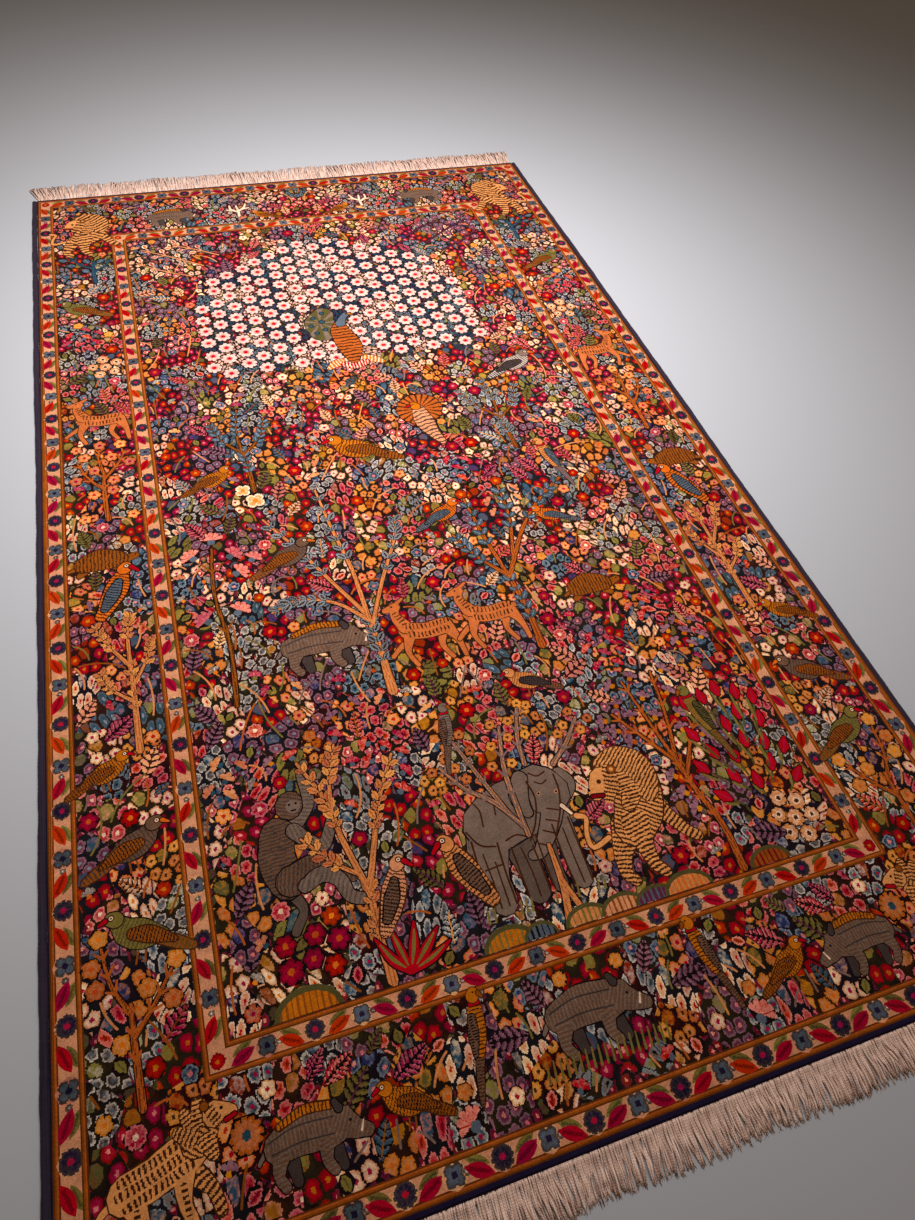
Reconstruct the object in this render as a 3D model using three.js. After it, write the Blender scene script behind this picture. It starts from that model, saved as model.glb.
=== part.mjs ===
// A knotted pile rug that lies flat on a floor, in millimetres with +Z up.
// +Y runs along the rug to its far fringe. The origin is on the floor, under the middle of the whole outline.

import * as THREE from 'three';

// Driving sizes of the woven cloth.
const RUG_WIDTH = 1400;
const RUG_LENGTH = 2400;
const RUG_THICKNESS = 9;
const PILE_EDGE_SLOPE = 2.5;
const PIECE_GAP = 0.3;

// The overcast cord along each long side.
const SELVEDGE_WIDTH = 13;
const SELVEDGE_HEIGHT = 8;
const SELVEDGE_LUMP = 0.9;

// A hand loom never holds its width: each long side wanders inwards by up to this much.
const EDGE_WANDER = 4;
const EDGE_STATIONS = 40;

// The warp ends left as fringe, longer at the far end.
const FRINGE_FAR_LENGTH = 84;
const FRINGE_NEAR_LENGTH = 52;
const FRINGE_STRANDS = 150;
const FRINGE_INSET = 8;
const FRINGE_STRIP_DEPTH = 6;
const FRINGE_STRIP_HEIGHT = 4;
const STRAND_ROOT_WIDTH = 5;
const STRAND_SHORTEST = 0.86;
const STRAND_LEAN = 3.4;
const STRAND_STRAY = 0.9;

// Stations along one strand beyond its root: share of the length, width and height there.
const STRAND_STATIONS = [
  { along: 0.5, width: 4.4, height: 3.2, lean: 0.35 },
  { along: 1, width: 3, height: 2.4, lean: 1 },
];

// The cord's section: share of its width outwards from the cloth, and share of its height.
const SELVEDGE_SECTION = [
  { out: 0, up: 0 },
  { out: 0.78, up: 0 },
  { out: 1, up: 0.3 },
  { out: 0.98, up: 0.64 },
  { out: 0.76, up: 0.93 },
  { out: 0.42, up: 1 },
  { out: 0.1, up: 0.86 },
  { out: 0, up: 0.6 },
];

const WOOL = { roughness: 0.95, metalness: 0 };
const PILE_MATERIAL = new THREE.MeshStandardMaterial({ color: 0x5b3a34, ...WOOL });
const SELVEDGE_MATERIAL = new THREE.MeshStandardMaterial({ color: 0x1f1b38, ...WOOL });
const FRINGE_MATERIAL = new THREE.MeshStandardMaterial({ color: 0xdcb9a2, ...WOOL });

// The two fringes differ, so the cloth's middle lies a little off the middle of the outline.
const CLOTH_MIDDLE_Y = (FRINGE_NEAR_LENGTH - FRINGE_FAR_LENGTH) / 2;
const CLOTH_HALF_WIDTH = RUG_WIDTH / 2 - SELVEDGE_WIDTH - PIECE_GAP;
const LEFT = -1;
const RIGHT = 1;
const NEAR = -1;
const FAR = 1;

// Inward wander of one long side at a share of the length from 0 to 1.
function edgeWander(share, side) {
  const long = Math.cos(2 * Math.PI * (1.3 * share + 0.1 * side));
  const short = Math.cos(2 * Math.PI * (4.1 * share - 0.2 * side));
  return EDGE_WANDER * (0.5 - 0.35 * long - 0.15 * short);
}

// One place along the cloth for each station, with the x of the cloth's edge there.
function edgeLine(side) {
  return Array.from({ length: EDGE_STATIONS + 1 }, (_, station) => {
    const share = station / EDGE_STATIONS;
    return {
      share,
      x: side * (CLOTH_HALF_WIDTH - edgeWander(share, side)),
      y: CLOTH_MIDDLE_Y + (share - 0.5) * RUG_LENGTH,
    };
  });
}

// A geometry from shared points and triangles, turned so that its faces point out.
function closedGeometry(points, triangles) {
  const volume = triangles.reduce((sum, [a, b, c]) => {
    const normal = new THREE.Vector3().crossVectors(points[b], points[c]);
    return sum + points[a].dot(normal);
  }, 0);
  const outward = volume > 0 ? triangles : triangles.map(([a, b, c]) => [a, c, b]);
  const geometry = new THREE.BufferGeometry();
  geometry.setAttribute('position', new THREE.Float32BufferAttribute(points.flatMap((p) => p.toArray()), 3));
  geometry.setIndex(outward.flat());
  geometry.computeVertexNormals();
  return geometry;
}

function quad(a, b, c, d) {
  return [[a, b, c], [a, c, d]];
}

// Joins like rings, one after another, and closes the first and last. flatten gives a ring's outline in its plane.
function skinRings(rings, flatten) {
  const count = rings[0].length;
  const last = (rings.length - 1) * count;
  const triangles = [];
  for (let ring = 0; ring + 1 < rings.length; ring += 1) {
    for (let point = 0; point < count; point += 1) {
      const a = ring * count + point;
      const b = ring * count + ((point + 1) % count);
      triangles.push(...quad(a, b, b + count, a + count));
    }
  }
  for (const [a, b, c] of THREE.ShapeUtils.triangulateShape(rings[0].map(flatten), [])) {
    triangles.push([c, b, a], [last + a, last + b, last + c]);
  }
  return closedGeometry(rings.flat(), triangles);
}

// The cloth: a flat slab whose pile slopes in a little at the top of its edges.
function clothGeometry() {
  const levels = [
    { z: 0, inset: 0 },
    { z: RUG_THICKNESS - PILE_EDGE_SLOPE, inset: 0 },
    { z: RUG_THICKNESS, inset: PILE_EDGE_SLOPE },
  ];
  const outline = [...edgeLine(RIGHT), ...edgeLine(LEFT).reverse()];
  const rings = levels.map(({ z, inset }) => outline.map(({ share, x, y }) => {
    const endInset = share === 0 ? inset : share === 1 ? -inset : 0;
    return new THREE.Vector3(x - Math.sign(x) * inset, y + endInset, z);
  }));
  return skinRings(rings, (point) => new THREE.Vector2(point.x, point.y));
}

// The wrapped cord beside the cloth, slightly lumpy on its outer side, flat on the floor.
function selvedgeGeometry(side) {
  const section = side === RIGHT ? [...SELVEDGE_SECTION].reverse() : SELVEDGE_SECTION;
  const rings = edgeLine(side).map(({ x, y }, station) => {
    const lump = SELVEDGE_LUMP * (0.5 + 0.5 * Math.sin(station * 2.1 + side));
    return section.map(({ out, up }) => {
      const reach = PIECE_GAP + out * (SELVEDGE_WIDTH - lump);
      return new THREE.Vector3(x + side * reach, y, up * SELVEDGE_HEIGHT);
    });
  });
  return skinRings(rings, (point) => new THREE.Vector2(point.z, point.x));
}

// One end's fringe: a narrow strip beside the cloth and the strands that grow from it, level on the floor.
function fringeGeometry(end, length) {
  const edgeY = CLOTH_MIDDLE_Y + end * (RUG_LENGTH / 2 + PIECE_GAP);
  const strip = { back: edgeY, front: edgeY + end * FRINGE_STRIP_DEPTH };
  const span = 2 * (CLOTH_HALF_WIDTH - FRINGE_INSET);
  const pitch = (span - STRAND_ROOT_WIDTH) / (FRINGE_STRANDS - 1);
  const strandLength = length - PIECE_GAP - FRINGE_STRIP_DEPTH;
  const points = [];
  const triangles = [];

  // Every strand has two columns of four points in the strip, one at each side of its root.
  for (let strand = 0; strand < FRINGE_STRANDS; strand += 1) {
    const left = strand * pitch - span / 2;
    for (const x of [left, left + STRAND_ROOT_WIDTH]) {
      points.push(
        new THREE.Vector3(x, strip.back, 0),
        new THREE.Vector3(x, strip.front, 0),
        new THREE.Vector3(x, strip.front, FRINGE_STRIP_HEIGHT),
        new THREE.Vector3(x, strip.back, FRINGE_STRIP_HEIGHT),
      );
    }
  }
  const columns = 2 * FRINGE_STRANDS;
  for (let column = 0; column + 1 < columns; column += 1) {
    const here = column * 4;
    const next = here + 4;
    const betweenStrands = column % 2 === 1;
    triangles.push(...quad(here, here + 1, next + 1, next));
    triangles.push(...quad(here + 2, here + 3, next + 3, next + 2));
    triangles.push(...quad(here + 3, here, next, next + 3));
    if (betweenStrands) triangles.push(...quad(here + 1, here + 2, next + 2, next + 1));
  }
  const lastColumn = (columns - 1) * 4;
  triangles.push(...quad(3, 2, 1, 0));
  triangles.push(...quad(lastColumn, lastColumn + 1, lastColumn + 2, lastColumn + 3));

  // Each strand runs from its root through its stations, leaning with its neighbours and straying a little.
  for (let strand = 0; strand < FRINGE_STRANDS; strand += 1) {
    const middle = strand * pitch - span / 2 + STRAND_ROOT_WIDTH / 2;
    const lean = STRAND_LEAN * Math.sin(strand * 0.31 + end) + STRAND_STRAY * Math.sin(strand * 1.9);
    const shortening = Math.abs(Math.sin(strand * 2.4));
    const reach = strandLength * (1 - (1 - STRAND_SHORTEST) * shortening);
    const rootLeft = strand * 8;
    const rootRight = rootLeft + 4;
    let section = [rootLeft + 1, rootLeft + 2, rootRight + 2, rootRight + 1];
    for (const station of STRAND_STATIONS) {
      const x = middle + lean * station.lean;
      const y = strip.front + end * reach * station.along;
      const half = station.width / 2;
      const first = points.length;
      points.push(
        new THREE.Vector3(x - half, y, 0),
        new THREE.Vector3(x - half, y, station.height),
        new THREE.Vector3(x + half, y, station.height),
        new THREE.Vector3(x + half, y, 0),
      );
      const nextSection = [first, first + 1, first + 2, first + 3];
      section.forEach((corner, index) => {
        const after = (index + 1) % section.length;
        triangles.push(...quad(corner, section[after], nextSection[after], nextSection[index]));
      });
      section = nextSection;
    }
    triangles.push(...quad(...section));
  }
  return closedGeometry(points, triangles);
}

function piece(name, geometry, material) {
  const mesh = new THREE.Mesh(geometry, material);
  mesh.name = name;
  return mesh;
}

const rug = new THREE.Group();
rug.add(
  piece('rug_body', clothGeometry(), PILE_MATERIAL),
  piece('selvedge_left', selvedgeGeometry(LEFT), SELVEDGE_MATERIAL),
  piece('selvedge_right', selvedgeGeometry(RIGHT), SELVEDGE_MATERIAL),
  piece('fringe_far', fringeGeometry(FAR, FRINGE_FAR_LENGTH), FRINGE_MATERIAL),
  piece('fringe_near', fringeGeometry(NEAR, FRINGE_NEAR_LENGTH), FRINGE_MATERIAL),
);

export default rug;
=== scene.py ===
import math
from collections import namedtuple

import bpy
import numpy as np
from mathutils import Matrix, Vector
from mathutils.geometry import delaunay_2d_cdt


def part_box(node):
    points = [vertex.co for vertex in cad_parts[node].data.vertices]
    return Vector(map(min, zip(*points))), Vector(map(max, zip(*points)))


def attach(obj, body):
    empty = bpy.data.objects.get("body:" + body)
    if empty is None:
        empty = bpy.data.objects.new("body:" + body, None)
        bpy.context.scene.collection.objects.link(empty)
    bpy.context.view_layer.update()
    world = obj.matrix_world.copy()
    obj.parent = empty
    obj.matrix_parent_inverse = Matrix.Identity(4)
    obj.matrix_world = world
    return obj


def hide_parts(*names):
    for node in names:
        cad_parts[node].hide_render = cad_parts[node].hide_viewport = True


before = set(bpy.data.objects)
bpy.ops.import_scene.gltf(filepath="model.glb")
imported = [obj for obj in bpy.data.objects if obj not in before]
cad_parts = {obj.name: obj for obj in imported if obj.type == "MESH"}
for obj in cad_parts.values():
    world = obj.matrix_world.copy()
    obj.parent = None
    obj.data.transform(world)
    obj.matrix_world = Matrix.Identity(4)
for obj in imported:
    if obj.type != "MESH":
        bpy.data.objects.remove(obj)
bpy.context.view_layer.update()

# The pattern is drawn in millimetres about the middle of the cloth, x across it and y towards its far end.
MM = 0.001
cloth_low, cloth_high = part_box("rug_body")
CLOTH_MIDDLE_Y = (cloth_low.y + cloth_high.y) / 2
CLOTH_TOP = cloth_high.z
HALF_WIDTH = 686.7
HALF_LENGTH = (cloth_high.y - cloth_low.y) / 2 / MM
PILE_SLOPE = 2.5
BACK_THICKNESS, BACK_GAP = 1.4, 0.1

# Widths of the bands from the edge inwards, on the long sides and on the ends.
END_BAND = 5
GUARD_SIDE, GUARD_END = 39, 40
BORDER_SIDE, BORDER_END = 137, 160
INNER_SIDE, INNER_END = 37, 39
GUARD_LINE = 8
GUARD_REPEAT_ACROSS, GUARD_REPEAT_ALONG = 122, 147

# The width of a knot, how far a dye strays, how much a drawn line shakes, and the gap between two flowers.
KNOT = 1.7
STRAY = 2.2
HAND_SHAKE = 0.5
FLOWER_GAP = 1.0
rng = np.random.default_rng(20)


def linear(red, green, blue):
    """A dye as it is seen, 0 to 255, as the light that it reflects."""
    seen = np.array([red, green, blue]) / 255
    return tuple(np.where(seen <= 0.04045, seen / 12.92, ((seen + 0.055) / 1.055) ** 2.4))


DYES = {name: linear(*seen) for name, seen in {
    "night": (22, 10, 12),
    "navy": (32, 24, 50),
    "brown": (66, 34, 16),
    "sienna": (98, 50, 20),
    "red": (176, 30, 38),
    "madder": (126, 22, 28),
    "raspberry": (166, 38, 70),
    "rose": (220, 128, 120),
    "cream": (242, 206, 174),
    "ivory": (224, 192, 178),
    "tan": (214, 144, 104),
    "buff": (212, 148, 112),
    "honey": (208, 134, 82),
    "fawn": (194, 108, 64),
    "bark": (208, 134, 84),
    "copper": (176, 90, 46),
    "gold": (190, 108, 42),
    "ochre": (142, 77, 32),
    "orange": (214, 108, 50),
    "sky": (124, 134, 140),
    "mist": (198, 184, 172),
    "steel": (82, 92, 102),
    "teal": (42, 72, 86),
    "indigo": (38, 46, 80),
    "olive": (120, 104, 50),
    "moss": (82, 74, 40),
    "purple": (94, 40, 62),
    "mauve": (142, 100, 112),
    "grey": (118, 98, 86),
    "slate": (66, 54, 50),
    "ash": (92, 75, 65),
    "umber": (106, 76, 58),
    "dusk": (126, 98, 88),
    "wheat": (224, 152, 94),
}.items()}

# What the knots of one patch show: a form drawn about a point, in five dyes.
Motif = namedtuple("Motif", "form x y turn size count depth ground fill heart rim leaf", defaults=("olive",))
FORMS = ("plain", "bloom", "leaf", "sprig", "coat", "fan", "daisy", "rays", "posy")
DYED_PARTS = ("ground", "fill", "heart", "rim", "leaf")
patches = []


def lay(outline, motif):
    """Adds a patch of knots over those laid before it. The outline turns anticlockwise."""
    patches.append((np.asarray(outline, float), motif))


def plain(dye):
    return Motif("plain", 0, 0, 0, 10, 1, 0, dye, dye, dye, dye)


def block(x0, y0, x1, y1):
    return [(x0, y0), (x1, y0), (x1, y1), (x0, y1)]


def turned(x, y, turn, length, corners):
    """Corners along and across a heading, in shares of a length, as points about a place."""
    along = np.array([math.cos(turn), math.sin(turn)])
    across = np.array([-along[1], along[0]])
    return [np.array([x, y]) + length * (u * along + v * across) for u, v in corners]


# The patches of a sprig and of a fan: corners along and across, in shares of the length.
SPRIG_WIDTH = 0.6
SPRIG_CORNERS = ((-1, -0.12), (0, -SPRIG_WIDTH), (1, -0.12), (1, 0.12), (0, SPRIG_WIDTH), (-1, 0.12))
FAN_CORNERS = ((-0.5, -0.36), (0.1, -1), (0.74, -0.76), (1.02, 0), (0.74, 0.76), (0.1, 1), (-0.5, 0.36))


def round_outline(x, y, radius, sides):
    turns = np.arange(sides) * 2 * math.pi / sides
    reach = radius / math.cos(math.pi / sides)
    return np.stack([x + reach * np.cos(turns), y + reach * np.sin(turns)], 1)


# What each flower or leaf looks like, and how big it is knotted.
Flower = namedtuple("Flower", "form radius count depth fill heart rim")
FLOWERS = {
    "daisy": Flower("daisy", 18.4, 8, 0.36, "ivory", "red", "rose"),
    "oxeye": Flower("daisy", 13, 8, 0.2, "honey", "brown", "cream"),
    "sunflower": Flower("bloom", 23, 12, 0.3, "honey", "teal", "gold"),
    "rose": Flower("bloom", 13, 5, 0.26, "red", "gold", "madder"),
    "garden_rose": Flower("bloom", 16.5, 6, 0.4, "red", "orange", "madder"),
    "arch_leaf": Flower("leaf", 7, 0.78, 0.2, "navy", "indigo", "teal"),
    "arch_bud": Flower("leaf", 7, 0.78, 0.2, "teal", "navy", "sky"),
    "arch_pale": Flower("leaf", 6, 0.78, 0.2, "mist", "rose", "buff"),
    "bark_leaf": Flower("leaf", 9, 0.6, 0.1, "bark", "copper", "bark"),
    "lavender": Flower("leaf", 9, 0.6, 0.12, "mauve", "indigo", "mist"),
    "mallow": Flower("bloom", 12, 6, 0.22, "raspberry", "rose", "madder"),
    "peony": Flower("bloom", 15, 8, 0.2, "red", "cream", "rose"),
    "plum": Flower("bloom", 12, 7, 0.24, "purple", "sky", "mauve"),
    "cream": Flower("bloom", 13, 5, 0.28, "cream", "raspberry", "tan"),
    "buttercup": Flower("bloom", 13, 5, 0.28, "honey", "orange", "gold"),
    "button": Flower("bloom", 9, 5, 0.24, "honey", "brown", "gold"),
    "apricot": Flower("bloom", 13, 5, 0.36, "tan", "red", "orange"),
    "lily_star": Flower("bloom", 19, 4, 0.44, "honey", "orange", "cream"),
    "bluebell": Flower("bloom", 12, 5, 0.28, "indigo", "rose", "sky"),
    "aster": Flower("bloom", 11, 8, 0.24, "teal", "raspberry", "mist"),
    "star": Flower("bloom", 8.5, 6, 0.3, "slate", "steel", "mist"),
    "violet": Flower("bloom", 10.5, 5, 0.26, "purple", "rose", "mauve"),
    "pink": Flower("bloom", 10.5, 5, 0.26, "raspberry", "cream", "rose"),
    "tulip": Flower("fan", 14, 3, 0.4, "red", "steel", "rose"),
    "lily": Flower("fan", 14, 3, 0.4, "tan", "teal", "orange"),
    "poppy": Flower("fan", 13.5, 4, 0.4, "raspberry", "olive", "rose"),
    "bell": Flower("fan", 13, 3, 0.34, "grey", "orange", "mist"),
    "iris": Flower("fan", 14, 3, 0.44, "mauve", "gold", "purple"),
    "palmette": Flower("fan", 21, 5, 0.3, "rose", "steel", "red"),
    "bud": Flower("leaf", 9.5, 0.76, 0.2, "tan", "red", "cream"),
    "pebble": Flower("leaf", 9, 0.84, 0.2, "cream", "orange", "tan"),
    "blue_bud": Flower("leaf", 9, 0.78, 0.2, "steel", "teal", "mist"),
    "olive_leaf": Flower("leaf", 10.5, 0.6, 0.1, "olive", "moss", "olive"),
    "teal_leaf": Flower("leaf", 12, 0.62, 0.1, "teal", "sky", "steel"),
    "grey_leaf": Flower("leaf", 9, 0.68, 0.12, "grey", "night", "sky"),
    "red_leaf": Flower("leaf", 11, 0.62, 0.16, "red", "madder", "rose"),
    "fern": Flower("sprig", 30, 6, 0.3, "mauve", "night", "purple"),
    "vetch": Flower("sprig", 28, 5, 0.3, "tan", "brown", "rose"),
    "rue": Flower("sprig", 26, 5, 0.3, "teal", "ochre", "steel"),
    "sage": Flower("sprig", 28, 6, 0.3, "olive", "purple", "moss"),
    "comb": Flower("sprig", 28, 8, 0.3, "raspberry", "night", "rose"),
    "spray": Flower("sprig", 28, 6, 0.3, "steel", "bark", "mist"),
    "hawthorn": Flower("sprig", 28, 6, 0.3, "red", "ochre", "rose"),
    "willow": Flower("sprig", 30, 8, 0.3, "moss", "brown", "olive"),
    "broom": Flower("sprig", 26, 6, 0.3, "honey", "ochre", "cream"),
    "currant": Flower("bloom", 10, 6, 0.3, "red", "madder", "rose"),
    "sloe": Flower("bloom", 10, 6, 0.3, "teal", "night", "sky"),
    "elder": Flower("bloom", 10, 7, 0.3, "grey", "steel", "mist"),
}


# Stems: half width, step, the room that a stem needs, how it bends, the fewest steps, lengths, and dyes.
STEM_HALF = 1.5
STEM_STEP = 6.0
STEM_ROOM = 3.4
STEM_BEND = 1.1
STEM_LEAST = 3
STEM_LENGTHS = (40, 90)
STEM_DYES = ("bark", "ochre", "copper", "olive", "bark", "dusk")

# Sprigs keep off the edge; clumps have a reach, and flowers of several sizes and turns.
SPRIG_TIP_ROOM, SPRIG_SHRINK = 0.14, 0.9
CLUMP_REACH = 80
CLUMP_SIZES = (0.85, 1.08)
CLUMP_TURNS = (0.5, 1.1)
PLANT_LEAN = 0.5
FLOWER_SIDES = 6
TINY = 1e-6
FAR_AWAY = 999

# Small flowers are knotted as mosaics in zones, finer under the arch and larger at the near end.
ZONE_SPACING, ZONE_CLOSE = 50.0, 0.8
ZONE_TRIES = 14
ZONE_EDGE_ROOM = 4
ZONE_REACH = 90.0
ZONE_RAYS = 10
ZONE_SQUEEZE = (1, 0.7)
POSY_SIZE, POSY_SHARE = 6.2, 0.72
ARCH_FINER = 0.75
POSY_NEAR, POSY_LESS = 1.36, 0.3
POSY_STRAY = 0.7
POSY_LEAST_PETALS = 2
POSY_GAP, POSY_APART = 0.048, 0.02
POSY_FORMS = ("bloom", "leaf")
DRAWN_SINGLY = ("sunflower", "lily_star", "garden_rose", "lavender")
LEAF_DYES = ("olive", "moss", "teal", "indigo", "madder", "ochre", "olive", "teal")

# Flowers that are drawn one by one over the zones.
SINGLES = ("garden_rose", "garden_rose", "garden_rose", "rose", "peony", "tulip", "lily", "poppy", "cream",
           "apricot", "iris", "bell", "red_leaf", "olive_leaf", "bluebell", "spray", "hawthorn", "willow",
           "broom", "vetch", "rue", "fern", "comb", "sage", "vetch", "hawthorn", "palmette", "buttercup")
SINGLE_SPACING = 37.0
SINGLE_SIZES = (0.8, 1.0)
SINGLE_LEAN = 0.7


def share_along(y):
    """How far a place lies from the near end, from 0 to 1."""
    return (y + HALF_LENGTH) / (2 * HALF_LENGTH)


def nearest(x, y, places):
    """The distance to the nearest of some places."""
    return min((math.hypot(x - place[0], y - place[1]) for place in places), default=FAR_AWAY)


def girth(name, radius):
    """The room that a flower needs around its middle."""
    return radius * SPRIG_WIDTH if FLOWERS[name].form == "sprig" else radius


class Bed:
    """A stretch of ground, with the room that is left at each place of a fine grid over it."""

    GRAIN = 2.0
    REACH = 42.0

    def __init__(self, low, high, edge_room):
        self.x = np.arange(low[0], high[0], self.GRAIN)
        self.y = np.arange(low[1], high[1], self.GRAIN)
        self.room = edge_room(self.x[:, None], self.y[None, :])
        self.edge_room = edge_room
        self.low, self.high = np.array(low, float), np.array(high, float)
        self.flowers = []
        self.stems = []
        self.zones = []

    def window(self, x, y, reach):
        i, j = (x - self.x[0]) / self.GRAIN, (y - self.y[0]) / self.GRAIN
        steps = reach / self.GRAIN
        return (slice(max(0, int(i - steps)), max(0, int(i + steps) + 2)),
                slice(max(0, int(j - steps)), max(0, int(j + steps) + 2)))

    def room_at(self, x, y):
        i = min(max(int(round((x - self.x[0]) / self.GRAIN)), 0), len(self.x) - 1)
        j = min(max(int(round((y - self.y[0]) / self.GRAIN)), 0), len(self.y) - 1)
        return self.room[i, j]

    def take(self, x, y, radius):
        """Takes a round spot out of the free ground."""
        i, j = self.window(x, y, radius + self.REACH)
        left = np.hypot(self.x[i][:, None] - x, self.y[j][None, :] - y) - radius
        np.minimum(self.room[i, j], left, out=self.room[i, j])

    def take_line(self, line):
        for x, y, half in line:
            self.take(x, y, half)

    def set_flower(self, x, y, radius, name, turn):
        if FLOWERS[name].form != "sprig":
            self.flowers.append((x, y, radius, name, turn))
            self.take(x, y, radius)
            return
        ahead = np.array([math.cos(turn), math.sin(turn)])
        place = np.array([x, y])
        tips = (-1, 1)
        while min(self.edge_room(*(place + tip * radius * ahead)) for tip in tips) < radius * SPRIG_TIP_ROOM:
            radius *= SPRIG_SHRINK
        self.flowers.append((x, y, radius, name, turn))
        for share in (-0.5, 0, 0.5):
            self.take(*(place + share * radius * ahead), radius * SPRIG_WIDTH)

    def set_stem(self, x, y, heading, length, dye):
        """A thin curved stem, as far as the ground is free."""
        bend = rng.normal(0, STEM_BEND) / length
        line = []
        while len(line) * STEM_STEP < length and self.room_at(x, y) > STEM_ROOM:
            line.append((x, y, STEM_HALF))
            heading += bend * STEM_STEP
            x += STEM_STEP * math.cos(heading)
            y += STEM_STEP * math.sin(heading)
        if len(line) > STEM_LEAST:
            self.take_line(line)
            self.stems.append((np.array(line), dye))

    def set_clump(self, name, x, y, most, heading, stretch):
        """Like flowers side by side, as near to a point as they fit, drawn out along a heading."""
        i, j = self.window(x, y, CLUMP_REACH)
        dx, dy = self.x[i][:, None] - x, self.y[j][None, :] - y
        along = dx * math.cos(heading) + dy * math.sin(heading)
        across = dy * math.cos(heading) - dx * math.sin(heading)
        distance = (along * stretch) ** 2 + across ** 2
        for _ in range(most):
            radius = FLOWERS[name].radius * rng.uniform(*CLUMP_SIZES)
            free = np.where(self.room[i, j] >= girth(name, radius) + FLOWER_GAP, distance, np.inf)
            best = np.unravel_index(np.argmin(free), free.shape)
            if not np.isfinite(free[best]):
                return
            turn = heading + math.copysign(rng.uniform(*CLUMP_TURNS), across[best])
            self.set_flower(self.x[i][best[0]], self.y[j][best[1]], radius, name, turn)

    def set_zones(self, seeds):
        """Shares the ground among seeds: each zone reaches halfway to its neighbours, along so many rays."""
        places = np.array([seed[:2] for seed in seeds], float) * ZONE_SQUEEZE
        low, high = self.low * ZONE_SQUEEZE, self.high * ZONE_SQUEEZE
        for (x, y, name), place in zip(seeds, places):
            rays = (np.arange(ZONE_RAYS) + rng.uniform()) * 2 * math.pi / ZONE_RAYS
            rays = np.stack([np.cos(rays), np.sin(rays)], 1)
            away = places - place
            near = away[(np.abs(away).max(1) < 2 * ZONE_REACH) & (np.abs(away).max(1) > 0)]
            gap = np.linalg.norm(near, axis=1)
            facing = np.maximum(rays @ (near / gap[:, None]).T, TINY)
            reach = np.minimum((gap / 2 / facing).min(1, initial=ZONE_REACH), ZONE_REACH)
            wall = np.where(rays > 0, high - place, place - low) / np.maximum(np.abs(rays), TINY)
            reach = np.minimum(reach, wall.min(1))[:, None]
            self.zones.append(((place + rays * reach) / ZONE_SQUEEZE, x, y, name,
                               rng.normal(math.pi / 2, PLANT_LEAN), LEAF_DYES[rng.integers(len(LEAF_DYES))]))

    def knot_zones(self, ground, mirrored=False):
        """Lays every zone as a mosaic of small like flowers and leaves."""
        for outline, x, y, name, turn, leaf in self.zones:
            flower = FLOWERS[name]
            finer = ARCH_FINER if in_arch(x, y) else POSY_NEAR - POSY_LESS * share_along(y)
            size = (POSY_SIZE + flower.radius * POSY_SHARE) * finer
            motif = Motif("posy", x, y, turn, size, max(flower.count, POSY_LEAST_PETALS),
                          flower.depth, ground, flower.fill, flower.heart, flower.rim, leaf)
            lay(outline, motif)
            if mirrored:
                lay((outline * (-1, 1))[::-1], motif._replace(x=-x, turn=math.pi - turn))

    def knot(self, ground, mirrored=False):
        """Lays every flower, and on a mirrored bed its twin on the other half of the rug."""
        for x, y, radius, name, turn in self.flowers:
            flower = FLOWERS[name]
            for side in (1, -1) if mirrored else (1,):
                facing = turn if side == 1 else math.pi - turn
                outline = round_outline(side * x, y, radius, FLOWER_SIDES)
                if flower.form == "sprig":
                    outline = turned(side * x, y, facing, radius, SPRIG_CORNERS)
                elif flower.form == "fan":
                    outline = turned(side * x, y, facing, radius, FAN_CORNERS)
                lay(outline, Motif(flower.form, side * x, y, facing, radius, flower.count, flower.depth,
                                   ground, flower.fill, flower.heart, flower.rim))
        for line, dye in self.stems:
            lay(stroke_outline(line, 0, 1), plain(dye))
            if mirrored:
                lay(stroke_outline(line * (-1, 1, 1), 0, 1), plain(dye))


def smooth_line(points, steps=4):
    """A line eased through its points; every column of the points is eased alike."""
    points = np.asarray(points, float)
    ends = np.vstack([2 * points[0] - points[1], points, 2 * points[-1] - points[-2]])
    shares = np.linspace(0, 1, steps, endpoint=False)[:, None]
    line = []
    for a, b, c, d in zip(ends, ends[1:], ends[2:], ends[3:]):
        line.append(0.5 * (2 * b + (c - a) * shares + (2 * a - 5 * b + 4 * c - d) * shares ** 2
                           + (3 * b - a - 3 * c + d) * shares ** 3))
    return np.vstack([*line, points[-1:]])


# Strokes that are thinner, or have shorter steps, than this shake less, in millimetres.
STEADY_HALF, STEADY_STEP = 10, 8
LEAST_STEP = 1e-9


def stroke_outline(line, spread=0.0, rounding=4):
    """The outline of a brush stroke along points of x, y and half width, with some points round each end."""
    line = np.asarray(line, float)
    along = np.gradient(line[:, :2], axis=0)
    along /= np.maximum(np.linalg.norm(along, axis=1, keepdims=True), LEAST_STEP)
    across = np.stack([-along[:, 1], along[:, 0]], 1)
    half = line[:, 2:3] + spread
    right, left = line[:, :2] - across * half, line[:, :2] + across * half
    caps = []
    for at, sign in ((-1, 1), (0, -1)):
        turns = np.linspace(-math.pi / 2, math.pi / 2, rounding + 2)[1:-1, None]
        caps.append(line[at, :2] + half[at] * sign * (np.cos(turns) * along[at] + np.sin(turns) * across[at]))
    outline = np.vstack([right, caps[0], left[::-1], caps[1]])
    steps = np.linalg.norm(np.diff(line[:, :2], axis=0), axis=1)
    steady = min(half.min() / STEADY_HALF, steps.min() / STEADY_STEP, 1)
    return outline + rng.normal(0, HAND_SHAKE, outline.shape) * steady


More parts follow.
